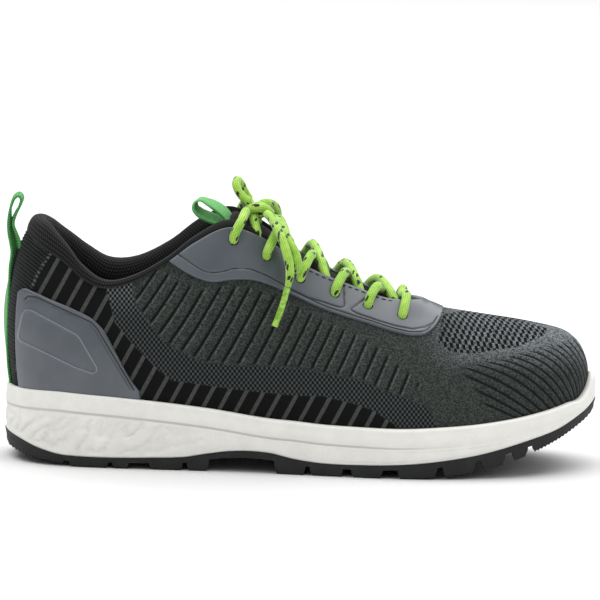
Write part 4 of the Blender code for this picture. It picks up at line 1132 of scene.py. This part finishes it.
tongue_rows = [tongue_row(station, np.linspace(WING_LOW, WING_HIGH, 12), np.linspace(0, 1, 34)[1:-1])
               for station in np.linspace(TONGUE_FRONT, TONGUE_BACK, 80)]
last_row = tongue_rows[-1]
middle = len(last_row) // 2
lead = unit(last_row[middle] - tongue_rows[-4][middle])
for distance in np.linspace(0, TONGUE_TOP["distance"][-1], 11)[1:]:
    width, sink = (float(smooth(TONGUE_TOP["distance"], TONGUE_TOP[name], distance))
                   for name in ("width", "sink"))
    row = last_row.copy()
    row[:, 1] = last_row[:, 1].mean() + (row[:, 1] - last_row[:, 1].mean()) * width
    row[:, 2] = row[:, 2].max() - (row[:, 2].max() - row[:, 2]) * width**2
    tongue_rows.append(row + lead * distance * MM - np.array([0, 0, sink * MM]))
tongue_face = np.array(tongue_rows)
tongue_out = unit(np.cross(np.gradient(tongue_face, axis=1), np.gradient(tongue_face, axis=0)))
tongue_out *= np.sign(tongue_out[40, middle, 2])
rows_in = np.minimum(np.arange(len(tongue_face)), np.arange(len(tongue_face))[::-1])[:, None]
columns_in = np.minimum(np.arange(len(last_row)), np.arange(len(last_row))[::-1])
fat = np.sqrt(ease(rows_in, -1, 8)) * np.sqrt(ease(columns_in, -1, 8))
tongue_face = tongue_face - tongue_out * (1 - fat)[..., None] * TONGUE_SUNK_EDGE
tongue_back = tongue_face - tongue_out * (TONGUE_THICK * fat)[..., None]
tongue_loop = np.concatenate([tongue_face, tongue_back[:, ::-1]], axis=1).transpose(1, 0, 2)
tongue_cloth = cloth_finish("tongue_cloth", srgb(4, 4, 5), srgb(17, 18, 19), 1.5 * MM)
tongue_mesh = quilt("tongue_pad", tongue_loop, loop=True, caps=True, marks=cloth_marks(tongue_loop))
tongue = piece("tongue_pad", tongue_mesh, tongue_cloth, "tongue_cloth", "tongue")

# Pull loops: green woven tape. One is sewn down the back of the heel and folded up into a loop, the other is
# sewn to the top of the tongue.
HEEL_TAPE_HEIGHTS = np.array([35.0, 46, 57, 68, 78, 87]) * MM
HEEL_TAPE_OUT = 0.5 * MM
HEEL_LOOP = ((-145.6, 95.0), (-144.6, 99.0), (-144.2, 103.0), (-144.9, 107.0), (-146.3, 111.6),
             (-147.2, 116.7), (-147.2, 121.7), (-146.2, 126.3), (-144.4, 129.8), (-142.6, 130.6),
             (-141.3, 129.0), (-142.0, 125.6), (-144.2, 121.0), (-145.7, 116.4), (-144.8, 111.4),
             (-143.4, 106.8), (-142.8, 103.4))
HEEL_TURNS = table("share turn", (0.0, 0), (0.43, 0), (0.50, 14), (0.56, 18), (0.63, 8), (0.68, 0),
                   (0.82, 0), (0.90, 8), (0.95, 18), (1.0, 18))
TONGUE_TURNS = table("share turn", (0.0, 22), (0.3, 20), (0.5, 0), (0.7, -20), (1.0, -22))
TONGUE_LOOP = ((-36.4, 118.4), (-40.0, 123.4), (-44.4, 126.8), (-48.8, 129.0), (-52.2, 130.2),
               (-54.6, 128.8), (-54.8, 126.0), (-52.6, 123.6), (-48.6, 121.6), (-45.2, 120.4), (-41.4, 118.6))
HEEL_TAPE_WIDTH, TONGUE_TAPE_WIDTH, TAPE_THICK = 12.0 * MM, 10.0 * MM, 1.3 * MM


def strap(name, path, width, turns):
    """A tape along a path seen from the side, with rounded edges, and turned at shares of its length."""
    run = unit(np.gradient(path, axis=0))
    level_out = unit(np.cross(run, [0.0, 1.0, 0.0]))
    turns = np.radians(smooth(turns["share"], turns["turn"], np.linspace(0, 1, len(path))))[:, None]
    out = level_out * np.cos(turns) + np.array([0.0, 1.0, 0.0]) * np.sin(turns)
    across = np.array([0.0, 1.0, 0.0]) * np.cos(turns) - level_out * np.sin(turns)
    half, round_off = width / 2, TAPE_THICK / 2
    outline = [(half - 0.3 * round_off, 0.75), (half, 0.0), (half - 0.3 * round_off, -0.75)]
    outline += [(half * share, -1.0) for share in np.linspace(0.9, -0.9, 9)]
    outline += [(-y, -t) for y, t in outline[:3]]
    outline += [(half * share, 1.0) for share in np.linspace(-0.9, 0.9, 9)]
    rows = [path + across * y + out * t * round_off for y, t in outline]
    marks = {"along": np.broadcast_to(run_along(path) / MM, (len(outline), len(path)))}
    return quilt(name, np.array(rows)[::-1], loop=True, caps=True, marks=marks)


def tape_finish(name, dark, light, ribbed):
    """Green woven tape, its cross ribs strong or faint."""
    material, make, shader = finish(name, roughness=0.75, specular_ior_level=0.3, sheen_weight=0.2)
    rib = make.mark("along").waves(1.25) * 0.5 + 0.5
    place = make.node("ShaderNodeSeparateXYZ", {"Vector": make.place()}, output="Y")
    thread = place.waves(0.7 * MM) * 0.5 + 0.5
    weave = rib * ribbed + thread * (0.85 - ribbed) + make.noise(1.5 * MM) * 0.3
    feed(shader, base_color=weave.step(0.1, 1.0).blend(dark, light), normal=weave.bump(0.25 * MM, 0.8))
    return material


def from_side(points):
    """Points in the middle plane of the shoe from their x and z in millimetres."""
    return [(x * MM, 0, z * MM) for x, z in points]


tape_shares = share_at(np.zeros(len(HEEL_TAPE_HEIGHTS)), lambda x: HEEL_TAPE_HEIGHTS[:, None])
tape = section(0.0, tape_shares) - np.array([HEEL_TAPE_OUT, 0, 0])
heel_path = round_path([*tape, *from_side(HEEL_LOOP)], 170)
piece("heel_webbing", strap("heel_webbing", heel_path, HEEL_TAPE_WIDTH, HEEL_TURNS),
      tape_finish("heel_tape", srgb(42, 118, 50), srgb(84, 182, 88), 0.6), "webbing", "heel_pull_loop")
tongue_path = round_path(from_side(TONGUE_LOOP), 80)
piece("tongue_webbing", strap("tongue_webbing", tongue_path, TONGUE_TAPE_WIDTH, TONGUE_TURNS),
      tape_finish("tongue_tape", srgb(66, 150, 70), srgb(132, 214, 130), 0.2), "webbing",
      "tongue_pull_loop")

# Insole: a loose footbed of foam covered in dark knitted cloth, cut to the floor of the cup and laid inside
# the upper
INSOLE_THICK, INSOLE_HOLLOW = 4.0 * MM, 1.2 * MM
INSOLE_CLEAR = 0.6 * MM
INSOLE_SIDE = ((0.0, 0.0), (0.0, 2.2), (0.3, 3.2), (1.2, 4.0))
INSOLE_SHARES = (0.8, 0.6, 0.4, 0.2, 0.0)
SOLE_WELD = 0.005 * MM


def to_middle(rings, shares):
    """Rows from a ring in to the line half way between its sides."""
    mirror = np.concatenate([rings[:1], rings[:0:-1]])
    middle = (rings + mirror) / 2
    return [middle + (rings - middle) * share for share in shares]


sole_stations = np.linspace(0, 1, 301)
sole_q = np.concatenate([-sole_stations[::-1], sole_stations[1:-1]])
insole_edge = skin(sole_q, 0.0, np.full(len(sole_q), -WALL - INSOLE_CLEAR))
insole_edge[:, 2] = sole_height("floor", insole_edge[:, 0]) + GAP
footbed_rows = to_middle(insole_edge, (0, 0.5))
for inset, rise in INSOLE_SIDE:
    row = insole_edge - outward(sole_q) * inset * MM
    row[:, 2] += rise * MM
    footbed_rows.append(row)
for share, row in zip(INSOLE_SHARES, to_middle(footbed_rows[-1], INSOLE_SHARES)):
    row[:, 2] = sole_height("floor", row[:, 0]) + GAP + INSOLE_THICK - INSOLE_HOLLOW * (1 - share**2)
    footbed_rows.append(row)
footbed_points = np.array(footbed_rows)
footbed_mesh = quilt("footbed", footbed_points, ring=True, weld=SOLE_WELD, marks=cloth_marks(footbed_points))
footbed_cloth = cloth_finish("insole_cloth", srgb(20, 21, 22), srgb(58, 60, 62), 1.0 * MM)
piece("footbed", footbed_mesh, footbed_cloth, "insole_cloth", "insole")

# Midsole: a white foam cup moulded in one, the upper glued into it. It has a step line round its side, a
# crumpled face under the step at the back, and a fine moulded line along the forefoot.
STEP_BELOW_RIM, STEP_LIP, STEP_LOWEST = 9.0 * MM, 0.7 * MM, 0.35
STEP_FADES, STEP_FAINTEST = (0.88, 0.55), 0.15
SIDE_LOW = table("share inset", (0.0, 0.4), (0.2, 0.12), (0.45, 0.0), (0.8, 0.2), (0.95, 0.35), (1.0, 0.75))
SIDE_HIGH = table("share inset", (0.0, 0.06), (0.06, 0.03), (0.5, 0.12), (0.8, 0.20), (0.92, 0.30),
                  (1.0, 0.5))
LIP_FROM = 0.8
FOLD_ACROSS, FOLD_ALONG, FOLD_DEPTH = 6.0 * MM, 16.0 * MM, 1.3 * MM
FOLD_LEAN, FOLD_SLOPE = 0.8, 0.6
FOLDS_END = (0.42, 0.22)
MOULDED_SHARE, MOULDED_DEPTH = 0.15, 0.15 * MM
MOULDED_START, MOULDED_END = (0.50, 0.60), (0.86, 0.74)
sole_edge = edge_point(sole_q)
sole_out = outward(sole_q)
rim_point = section(sole_q, rim_share(sole_q)) + sole_out * GAP
cup_floor = section(sole_q, 0.0) + sole_out * GAP
cup_floor[:, 2] -= GAP
joint_z = sole_height("joint", sole_edge[:, 0])
rim_z = rim_point[:, 2]
land = np.sum((sole_edge - rim_point) * sole_out, axis=1)
step_z = np.maximum(rim_z - STEP_BELOW_RIM, joint_z + STEP_LOWEST * (rim_z - joint_z))


def side_row(inset, height):
    """A row round the side of the sole, in from its edge by inset."""
    row = sole_edge - sole_out * np.broadcast_to(inset, len(sole_q))[:, None]
    row[:, 2] = height
    return row


def crumple(row):
    """Folds of the crumpled face: how far each point of a row stands in from the smooth side."""
    folds = []
    for x, y, z in row:
        at = Vector(((x - FOLD_LEAN * z) / FOLD_ACROSS, y / FOLD_ALONG, (z + FOLD_SLOPE * x) / FOLD_ALONG))
        folds.append(1 - abs(noise.noise(at) + 0.4 * noise.noise(at * 2.3)) * 1.9)
    return np.clip(np.array(folds), 0, 1)


side_rows, crease_shades = [], []
along_sole = sole_edge[:, 0] / LENGTH + 0.5
fading = STEP_FAINTEST + (1 - STEP_FAINTEST) * ease(along_sole, *STEP_FADES)
for share in np.linspace(0, 1, 34):
    height = joint_z + (step_z - STEP_LIP - joint_z) * share
    inset = smooth(SIDE_LOW["share"], SIDE_LOW["inset"], share) * MM
    if share > LIP_FROM:
        inset = inset * fading
    folded = ease(along_sole, *FOLDS_END) * ease(share, 0.03, 0.2) * ease(share, 0.98, 0.85)
    fold = folded * crumple(side_row(inset, height)) ** 2
    moulded = ease(along_sole, *MOULDED_START) * ease(along_sole, *MOULDED_END)
    moulded = moulded * dip(share - MOULDED_SHARE, 0.05)
    side_rows.append(side_row(inset + fold * FOLD_DEPTH + moulded * MOULDED_DEPTH, height))
    # Painted shade: the folds, the moulded line and the step line are darkened in colour
    crease_shades.append(np.max([0.4 * fold, 0.5 * moulded, fading * ease(share, 0.96, 1.0)], axis=0))
for share in np.linspace(0, 1, 18):
    inset = smooth(SIDE_HIGH["share"], SIDE_HIGH["inset"], share) * land
    side_rows.append(side_row(inset, step_z + (rim_z - step_z) * (1 - (1 - share) ** 1.6)))
    crease_shades.append(fading * ease(share, 0.03, 0.0))
midsole_rows = [*to_middle(side_rows[0], (0, 0.5)), *side_rows, rim_point, cup_floor,
                *to_middle(cup_floor, (0.5, 0))]
plain = np.zeros((1, len(sole_edge)))
crease_shade_marks = np.concatenate([plain, plain, crease_shades, plain, plain, plain, plain])


def foam_finish():
    """Off-white foam with a faint mottle, and painted shade in its folds and lines."""
    material, make, shader = finish("foam", roughness=0.55, specular_ior_level=0.35)
    mottle = make.noise(9 * MM, 4.0) * 0.7 + make.noise(1.2 * MM) * 0.3
    foam = mottle.step(0.3, 0.75).blend(srgb(232, 231, 225), srgb(241, 240, 235))
    # Painted shade in the folds and lines
    feed(shader, base_color=make.mark("crease_shade").step(0.25, 1.0).blend(foam, srgb(206, 204, 196)),
         roughness=0.5 + mottle * 0.15, normal=make.noise(0.7 * MM, 3.0).bump(0.05 * MM, 0.6))
    return material


midsole_mesh = quilt("foam_midsole", np.array(midsole_rows), ring=True, weld=SOLE_WELD,
                     marks={"crease_shade": crease_shade_marks})
piece("foam_midsole", midsole_mesh, foam_finish(), "midsole_foam", "midsole")

# Outsole: a black rubber plate glued under the foam, with tread blocks and, at heel and toe, ribbed pads
# moulded on it. A row of TREAD says where blocks start and end along the sole, and the channels between them.
TREAD = (
    (0.004, 0.106, ()),
    (0.115, 0.181, (0.0,)),
    (0.187, 0.215, (0.0,)),
    (0.249, 0.305, (0.0,)),
    (0.312, 0.349, (0.0,)),
    (0.458, 0.510, (-0.15, 0.13)),
    (0.517, 0.572, (-0.16, 0.14)),
    (0.586, 0.638, (-0.17, 0.16)),
    (0.663, 0.728, (-0.17, 0.17)),
    (0.738, 0.792, (-0.14, 0.17)),
    (0.802, 0.842, (-0.10, 0.16)),
    (0.854, 0.880, (0.04,)),
    (0.888, 0.996, ()),
)
CHANNEL = 3.5 * MM
BLOCK_INSET = 0.5 * MM
BLOCK_SLOPE = 1.3 * MM
BLOCK_ROOT, BLOCK_END_SHARE = 1.2 * MM, 0.6
BLOCK_DRAFT, BLOCK_BEVEL, BLOCK_EDGE = 0.2 * MM, 0.7 * MM, 0.9 * MM
PAD_RIB_PITCH, PAD_RIB_DEPTH = 1.8 * MM, 0.8 * MM
PLATE_GAP, PLATE_SIDE, PLATE_SIDE_INSET, PLATE_LOW_INSET = 0.02 * MM, 0.8 * MM, 0.05 * MM, 0.6 * MM
plate_top = side_row(0.0, joint_z - PLATE_GAP)
plate_side = side_row(PLATE_SIDE_INSET, joint_z - PLATE_SIDE)
plate_low = side_row(PLATE_LOW_INSET, sole_height("plate", sole_edge[:, 0]))
plate_rows = [*to_middle(plate_low, (0, 0.5)), plate_low, plate_side, plate_top,
              *to_middle(plate_top, (0.5, 0))]
plate = quilt("rubber_outsole", np.array(plate_rows), ring=True, weld=SOLE_WELD)
side_lines = {side: edge_point(side * np.linspace(0, 1, 401)) for side in (-1, 1)}


def sole_side(side):
    """The sole's edge on one side as a function of x, in by the inset of the tread blocks."""
    points = side_lines[side]
    return lambda x: float(np.interp(x, points[:, 0], points[:, 1])) - side * BLOCK_INSET


def level(y):
    """A line along the sole at a fixed distance from its axis."""
    return lambda x: y


def tread_block(start, end, left, right, ribbed):
    """One tread block between two lines across the sole, with sloped ends, or fine ribs across a pad."""
    first, last = (start - 0.5) * LENGTH, (end - 0.5) * LENGTH
    places = np.linspace(first, last, 9)
    if ribbed:
        places = np.arange(first, last, PAD_RIB_PITCH / 4)
    places = np.unique(np.concatenate([places, [first + BLOCK_SLOPE, last - BLOCK_SLOPE, last]]))
    rows = []
    for x in places:
        high = float(sole_height("plate", x)) + BLOCK_ROOT
        low = max(float(sole_height("tread", x)), 0.0)
        sunk = 1 - min(1.0, (x - first) / BLOCK_SLOPE, (last - x) / BLOCK_SLOPE)
        low += sunk * BLOCK_END_SHARE * (high - BLOCK_ROOT - low)
        if ribbed:
            low += PAD_RIB_DEPTH * abs(2 * ((x / PAD_RIB_PITCH) % 1) - 1) * (1 - sunk)
        a, b = left(x), right(x)
        rows.append([(x, a, high), (x, a + BLOCK_DRAFT, low + BLOCK_BEVEL), (x, a + BLOCK_EDGE, low),
                     (x, b - BLOCK_EDGE, low), (x, b - BLOCK_DRAFT, low + BLOCK_BEVEL), (x, b, high)])
    return quilt("block", np.array(rows).transpose(1, 0, 2)[::-1], loop=True, caps=True)


blocks = []
for start, end, channels in TREAD:
    lines = [sole_side(-1)]
    for channel in channels:
        lines += [level(channel * BALL_WIDTH - CHANNEL / 2), level(channel * BALL_WIDTH + CHANNEL / 2)]
    lines.append(sole_side(1))
    for left, right in zip(lines[::2], lines[1::2]):
        blocks.append(tread_block(start, end, left, right, not channels))


def rubber_finish():
    """Black rubber, matt, with a dusty bloom and a fine grain."""
    material, make, shader = finish("rubber", roughness=0.6, specular_ior_level=0.4)
    bloom = make.noise(8 * MM, 4.0)
    feed(shader, base_color=bloom.step(0.35, 0.75).blend(srgb(15, 16, 16), srgb(30, 32, 33)),
         roughness=0.5 + bloom * 0.25, normal=make.noise(0.6 * MM, 3.0).bump(0.06 * MM, 0.7))
    return material


outsole = piece("rubber_outsole", plate, rubber_finish(), "outsole_rubber", "outsole")
combine(outsole, joined("tread_blocks", blocks, turn_out=True), "UNION", 30)

# Lace: one round braided cord of lime yarn with black flecks. It runs from the knot through the eyelets down
# one way, over the front as a bar and up the other way, out over each edge and back under the other.
LACE_RADIUS, PINCHED_RADIUS, TUCKED_RADIUS = 2.35 * MM, 2.1 * MM, 1.1 * MM
OVER_EYESTAY = OVERLAY_FOOT + OVERLAY_THICK + LACE_RADIUS
UNDER_EYELET, IN_EYELET, PAST_EYELET = -WALL - 1.2 * MM, 0.6 * MM, 2.6 * MM
OVER_EDGE, DIPPING, UNDER_EDGE, TUCKED_BELOW = 1.0 * MM, -1.0 * MM, -WALL - 1.0 * MM, 3.0 * MM
CROSSING_SHARES = (0.10, 0.46, 0.78, 0.92)
OFF_TONGUE = np.array([0.25, 0, 0.97])
CROSSING_RISE = {-1: LACE_RADIUS + 0.9 * MM, 1: LACE_RADIUS + 4.2 * MM}
BAR_OVER_EDGE, BAR_RISE = 0.8 * MM, LACE_RADIUS + 1.6 * MM
CORD_SIDES = 16
BRAID_PITCH, BRAID_STRANDS = 1.3, 7
FLECKS = ((6.1, 0.0, 1.7), (7.3, 0.37, 5.2), (8.9, 0.71, 9.4))


def over_tongue(station, rise):
    """The middle of the throat at a station, above the crown of the tongue."""
    row = tongue_row(station)
    crown = (row[len(row) // 2 - 1] + row[len(row) // 2]) / 2
    return crown + OFF_TONGUE * rise


def out_of_eyelet(side, row):
    """Places and radii of the lace from under an eyelet up through it."""
    q = side * eyelet_stations[row]
    v = eyelet_share(side, row)
    return [(skin(q, v, UNDER_EYELET), TUCKED_RADIUS), (skin(q, v, IN_EYELET), PINCHED_RADIUS),
            (skin(q, eyelet_share(side, row, PAST_EYELET), OVER_EYESTAY), LACE_RADIUS)]


def crossing(side, row):
    """Places and radii of the lace from the edge over an eyelet to under the next eyelet across."""
    start, end = eyelet_stations[row], eyelet_stations[row + 1]
    out_at, over_at, dip_at, under_at = (start + share * (end - start) for share in CROSSING_SHARES)
    tucked = share_below_edge(-side * end, TUCKED_BELOW)
    return [(skin(side * out_at, 1.0, OVER_EYESTAY + OVER_EDGE), LACE_RADIUS),
            (over_tongue(over_at, CROSSING_RISE[side]), LACE_RADIUS),
            (skin(-side * dip_at, 1.0, DIPPING), LACE_RADIUS),
            (skin(-side * under_at, tucked, UNDER_EDGE), TUCKED_RADIUS)]


def lace_half(side):
    """The lace from the eyelet of the first row on one side, crossing at each row, to the last row."""
    stops = []
    for row in range(len(EYELETS) - 1):
        stops += out_of_eyelet(side, row) + crossing(side, row)
        side = -side
    return stops + out_of_eyelet(side, len(EYELETS) - 1), side


first_half, last_side = lace_half(-1)
second_half, other_side = lace_half(1)
bar_station = eyelet_stations[-1]
bar = [(skin(side * bar_station, 1.0, OVER_EYESTAY + BAR_OVER_EDGE), LACE_RADIUS)
       for side in (last_side, other_side)]
bar.insert(1, (over_tongue(bar_station, BAR_RISE), LACE_RADIUS))
stop_places, stop_radii = (np.array(values) for values in zip(*first_half, *bar, *second_half[::-1]))
lace_line = round_path(stop_places, 900)
lace_run = run_along(stop_places)
lace_radii = smooth(lace_run, stop_radii, np.linspace(0, lace_run[-1], len(lace_line)))
lace_radii = np.clip(lace_radii, TUCKED_RADIUS, LACE_RADIUS)


def lace_finish():
    """Lime braid with black flecks woven in."""
    material, make, shader = finish("lace", roughness=0.7, specular_ior_level=0.3, sheen_weight=0.35)
    wobble = make.noise(1.3 * MM) - 0.5
    along, turn = make.mark("along"), make.mark("turn")
    forward, round_it = along / BRAID_PITCH, turn * BRAID_STRANDS
    braid = (forward + round_it).waves(1) * (forward - round_it).waves(1)
    flecks = None
    for pitch, offset, seed in FLECKS:
        cell = along / pitch + offset
        number = make.math("FLOOR", cell)
        where = make.node("ShaderNodeTexWhiteNoise", {"W": number + seed}, noise_dimensions="1D")
        near = (cell - number - 0.5) * pitch / 1.5 + wobble * 1.5
        aside = make.math("FRACT", turn - where + 0.5) - 0.5
        aside = aside * 15.0 + near * 0.5 + wobble
        fleck = (near * near + aside * aside).step(1.0, 0.55)
        flecks = fleck if flecks is None else flecks.most(fleck)
    tone = (braid * 0.25 + make.noise(5 * MM) * 0.6 + 0.1).step(0.0, 0.75)
    lime = tone.blend(srgb(104, 178, 28), srgb(198, 236, 104))
    feed(shader, base_color=flecks.blend(lime, srgb(18, 22, 14)), normal=braid.bump(0.18 * MM, 0.7))
    return material


lace = lace_finish()
crossings = [f"lace_crossing_{row + 1}" for row in range(len(EYELETS) - 1)]
piece("laced_cord", tube("laced_cord", lace_line, lace_radii, CORD_SIDES), lace, "lace_cord", *crossings,
      "lace_bar")

# Bow: the two ends of the lace, tied once and bowed, with a loop standing up, a loop hanging over the outer
# side and two free ends in clear tips. The routes are points in millimetres.
KNOT_WRAP = ((-28.4, -9.6, 123.4), (-28.0, -12.6, 126.0), (-25.4, -14.2, 128.0), (-21.8, -14.6, 128.3),
             (-18.6, -13.2, 127.2), (-17.6, -9.6, 125.6), (-19.2, -5.4, 126.4), (-22.8, -4.2, 127.8),
             (-26.0, -6.2, 127.4), (-26.4, -9.0, 125.8), (-23.6, -11.0, 124.8), (-20.4, -10.2, 124.8))
LOOP_UP = ((-27.2, -10.4, 130.6), (-30.2, -11.2, 132.4), (-33.0, -10.8, 135.6), (-34.5, -9.0, 139.0),
           (-34.0, -5.5, 140.7), (-32.3, -1.5, 138.4), (-30.6, 0.8, 134.6), (-28.9, 2.0, 131.8),
           (-27.2, 2.4, 130.2))
LOOP_DOWN = ((-16.0, -12.6, 122.6), (-12.2, -22.6, 120.4), (-8.0, -32.8, 114.4), (-4.2, -36.0, 108.4),
             (-3.2, -37.0, 104.0), (-3.4, -35.6, 101.0), (-3.8, -32.8, 100.8), (-4.4, -30.8, 103.6),
             (-5.6, -29.6, 107.8), (-8.8, -28.2, 115.8), (-13.0, -17.2, 121.2), (-16.0, -7.0, 123.0))
END_OUTER = ((-19.5, -16.8, 126.2), (-16.6, -23.6, 124.2), (-13.8, -31.2, 120.6), (-10.6, -38.8, 114.8),
             (-8.4, -41.2, 108.4), (-7.0, -41.8, 102.8), (-6.9, -41.4, 97.9), (-7.7, -40.4, 92.9))
TIP_OUTER = ((-7.9, -40.2, 92.2), (-10.4, -41.0, 82.6), (-13.8, -42.0, 73.1))
END_INNER = ((-23.2, 5.0, 127.3), (-20.7, 8.0, 128.0), (-17.7, 13.0, 127.4), (-15.0, 19.0, 125.0),
             (-13.9, 25.0, 120.9), (-13.7, 29.0, 116.0), (-12.6, 33.0, 108.5), (-11.4, 36.4, 100.5),
             (-10.5, 39.0, 93.0))
TIP_INNER = ((-10.4, 39.2, 92.3), (-10.8, 41.0, 83.0), (-12.0, 42.5, 73.0))
BOW_RADIUS = 2.2 * MM
TIP_RADIUS = 1.6 * MM
KNOT_POINTS, LOOP_POINTS, END_POINTS, TIP_POINTS = 90, 80, 60, 20


def free_cord(name, route, slot, node, radii, material):
    """A stretch of the lace along its route, in place of its solid, with its path and its length."""
    path = round_path(np.array(route) * MM, len(radii))
    item = piece(name, tube(name, path, radii, CORD_SIDES), material, slot, node)
    return item, path, float(run_along(path)[-1])


def tip_finish():
    """Clear film shrunk tight over the end of the lace."""
    material, make, shader = finish("lace_tip", roughness=0.25, coat_weight=0.6, coat_roughness=0.15)
    feed(shader, base_color=make.noise(2 * MM).step(0.35, 0.6).blend(srgb(120, 176, 44), srgb(170, 214, 88)))
    return material


tip_film = tip_finish()
from_end = np.minimum(np.arange(KNOT_POINTS), np.arange(KNOT_POINTS)[::-1])
knot_radii = LACE_RADIUS * ease(from_end, -6, 4)
knot, _, _ = free_cord("tied_knot", KNOT_WRAP, "lace_cord", "lace_knot", knot_radii, lace)
rounded = np.sqrt(ease(np.arange(LOOP_POINTS), -0.6, 2.5))
loop_radii = BOW_RADIUS * np.minimum(rounded, rounded[::-1])
narrowing = (BOW_RADIUS - TIP_RADIUS) * ease(np.arange(END_POINTS), END_POINTS - 10, END_POINTS - 1)
end_radii = np.minimum(BOW_RADIUS * rounded[:END_POINTS], BOW_RADIUS - narrowing)
tip_radii = np.full(TIP_POINTS, TIP_RADIUS)
for name, route, node, tied in (("bow_loop_up", LOOP_UP, "lace_loop_up", [knot]),
                                ("bow_loop_down", LOOP_DOWN, "lace_loop_down", [])):
    item, path, length = free_cord(name, route, "lace_cord", node, loop_radii, lace)
for name, route, tip_route in (("outer", END_OUTER, TIP_OUTER), ("inner", END_INNER, TIP_INNER)):
    tip, _, _ = free_cord("lace_tip_film_" + name, tip_route, "lace_tip", "lace_tip_" + name, tip_radii,
                          tip_film)
    item, path, length = free_cord("bow_end_" + name, route, "lace_cord", "lace_end_" + name, end_radii,
                                   lace)

# Studio: a plain pale floor under the shoe, and soft light from three panels that face it, one of them large
# and high, in a bright even surround
FLOOR_HALF = 8.0
PANELS = (
    ("sky_panel", (0.0, 1.0, 3.4), 6.0, 265),
    ("key_panel", (-0.7, -1.4, 1.5), 0.9, 6),
    ("toe_panel", (1.4, -0.6, 1.0), 0.6, 3),
)
PANELS_FACE = Vector((0, 0, 0.06))
SURROUND = 0.36
floor_mesh = bpy.data.meshes.new("floor")
corners = [(x * FLOOR_HALF, y * FLOOR_HALF, 0) for x, y in ((-1, -1), (1, -1), (1, 1), (-1, 1))]
floor_mesh.from_pydata(corners, [], [(0, 1, 2, 3)])
floor = bpy.data.objects.new("floor", floor_mesh)
bpy.context.scene.collection.objects.link(floor)
floor_mesh.materials.append(finish("pale_floor", base_color=(0.8, 0.8, 0.8, 1), roughness=0.8)[0])
world = bpy.data.worlds.new("surround")
world.use_nodes = True
backdrop = world.node_tree.nodes["Background"]
backdrop.inputs["Color"].default_value = (1, 1, 1, 1)
backdrop.inputs["Strength"].default_value = SURROUND
bpy.context.scene.world = world
for name, place, size, power in PANELS:
    lamp = bpy.data.objects.new(name, bpy.data.lights.new(name, "AREA"))
    lamp.data.size = size
    lamp.data.energy = power
    lamp.location = place
    lamp.rotation_euler = (PANELS_FACE - Vector(place)).to_track_quat("-Z", "Y").to_euler()
    bpy.context.scene.collection.objects.link(lamp)
bpy.context.scene.view_settings.view_transform = "Standard"
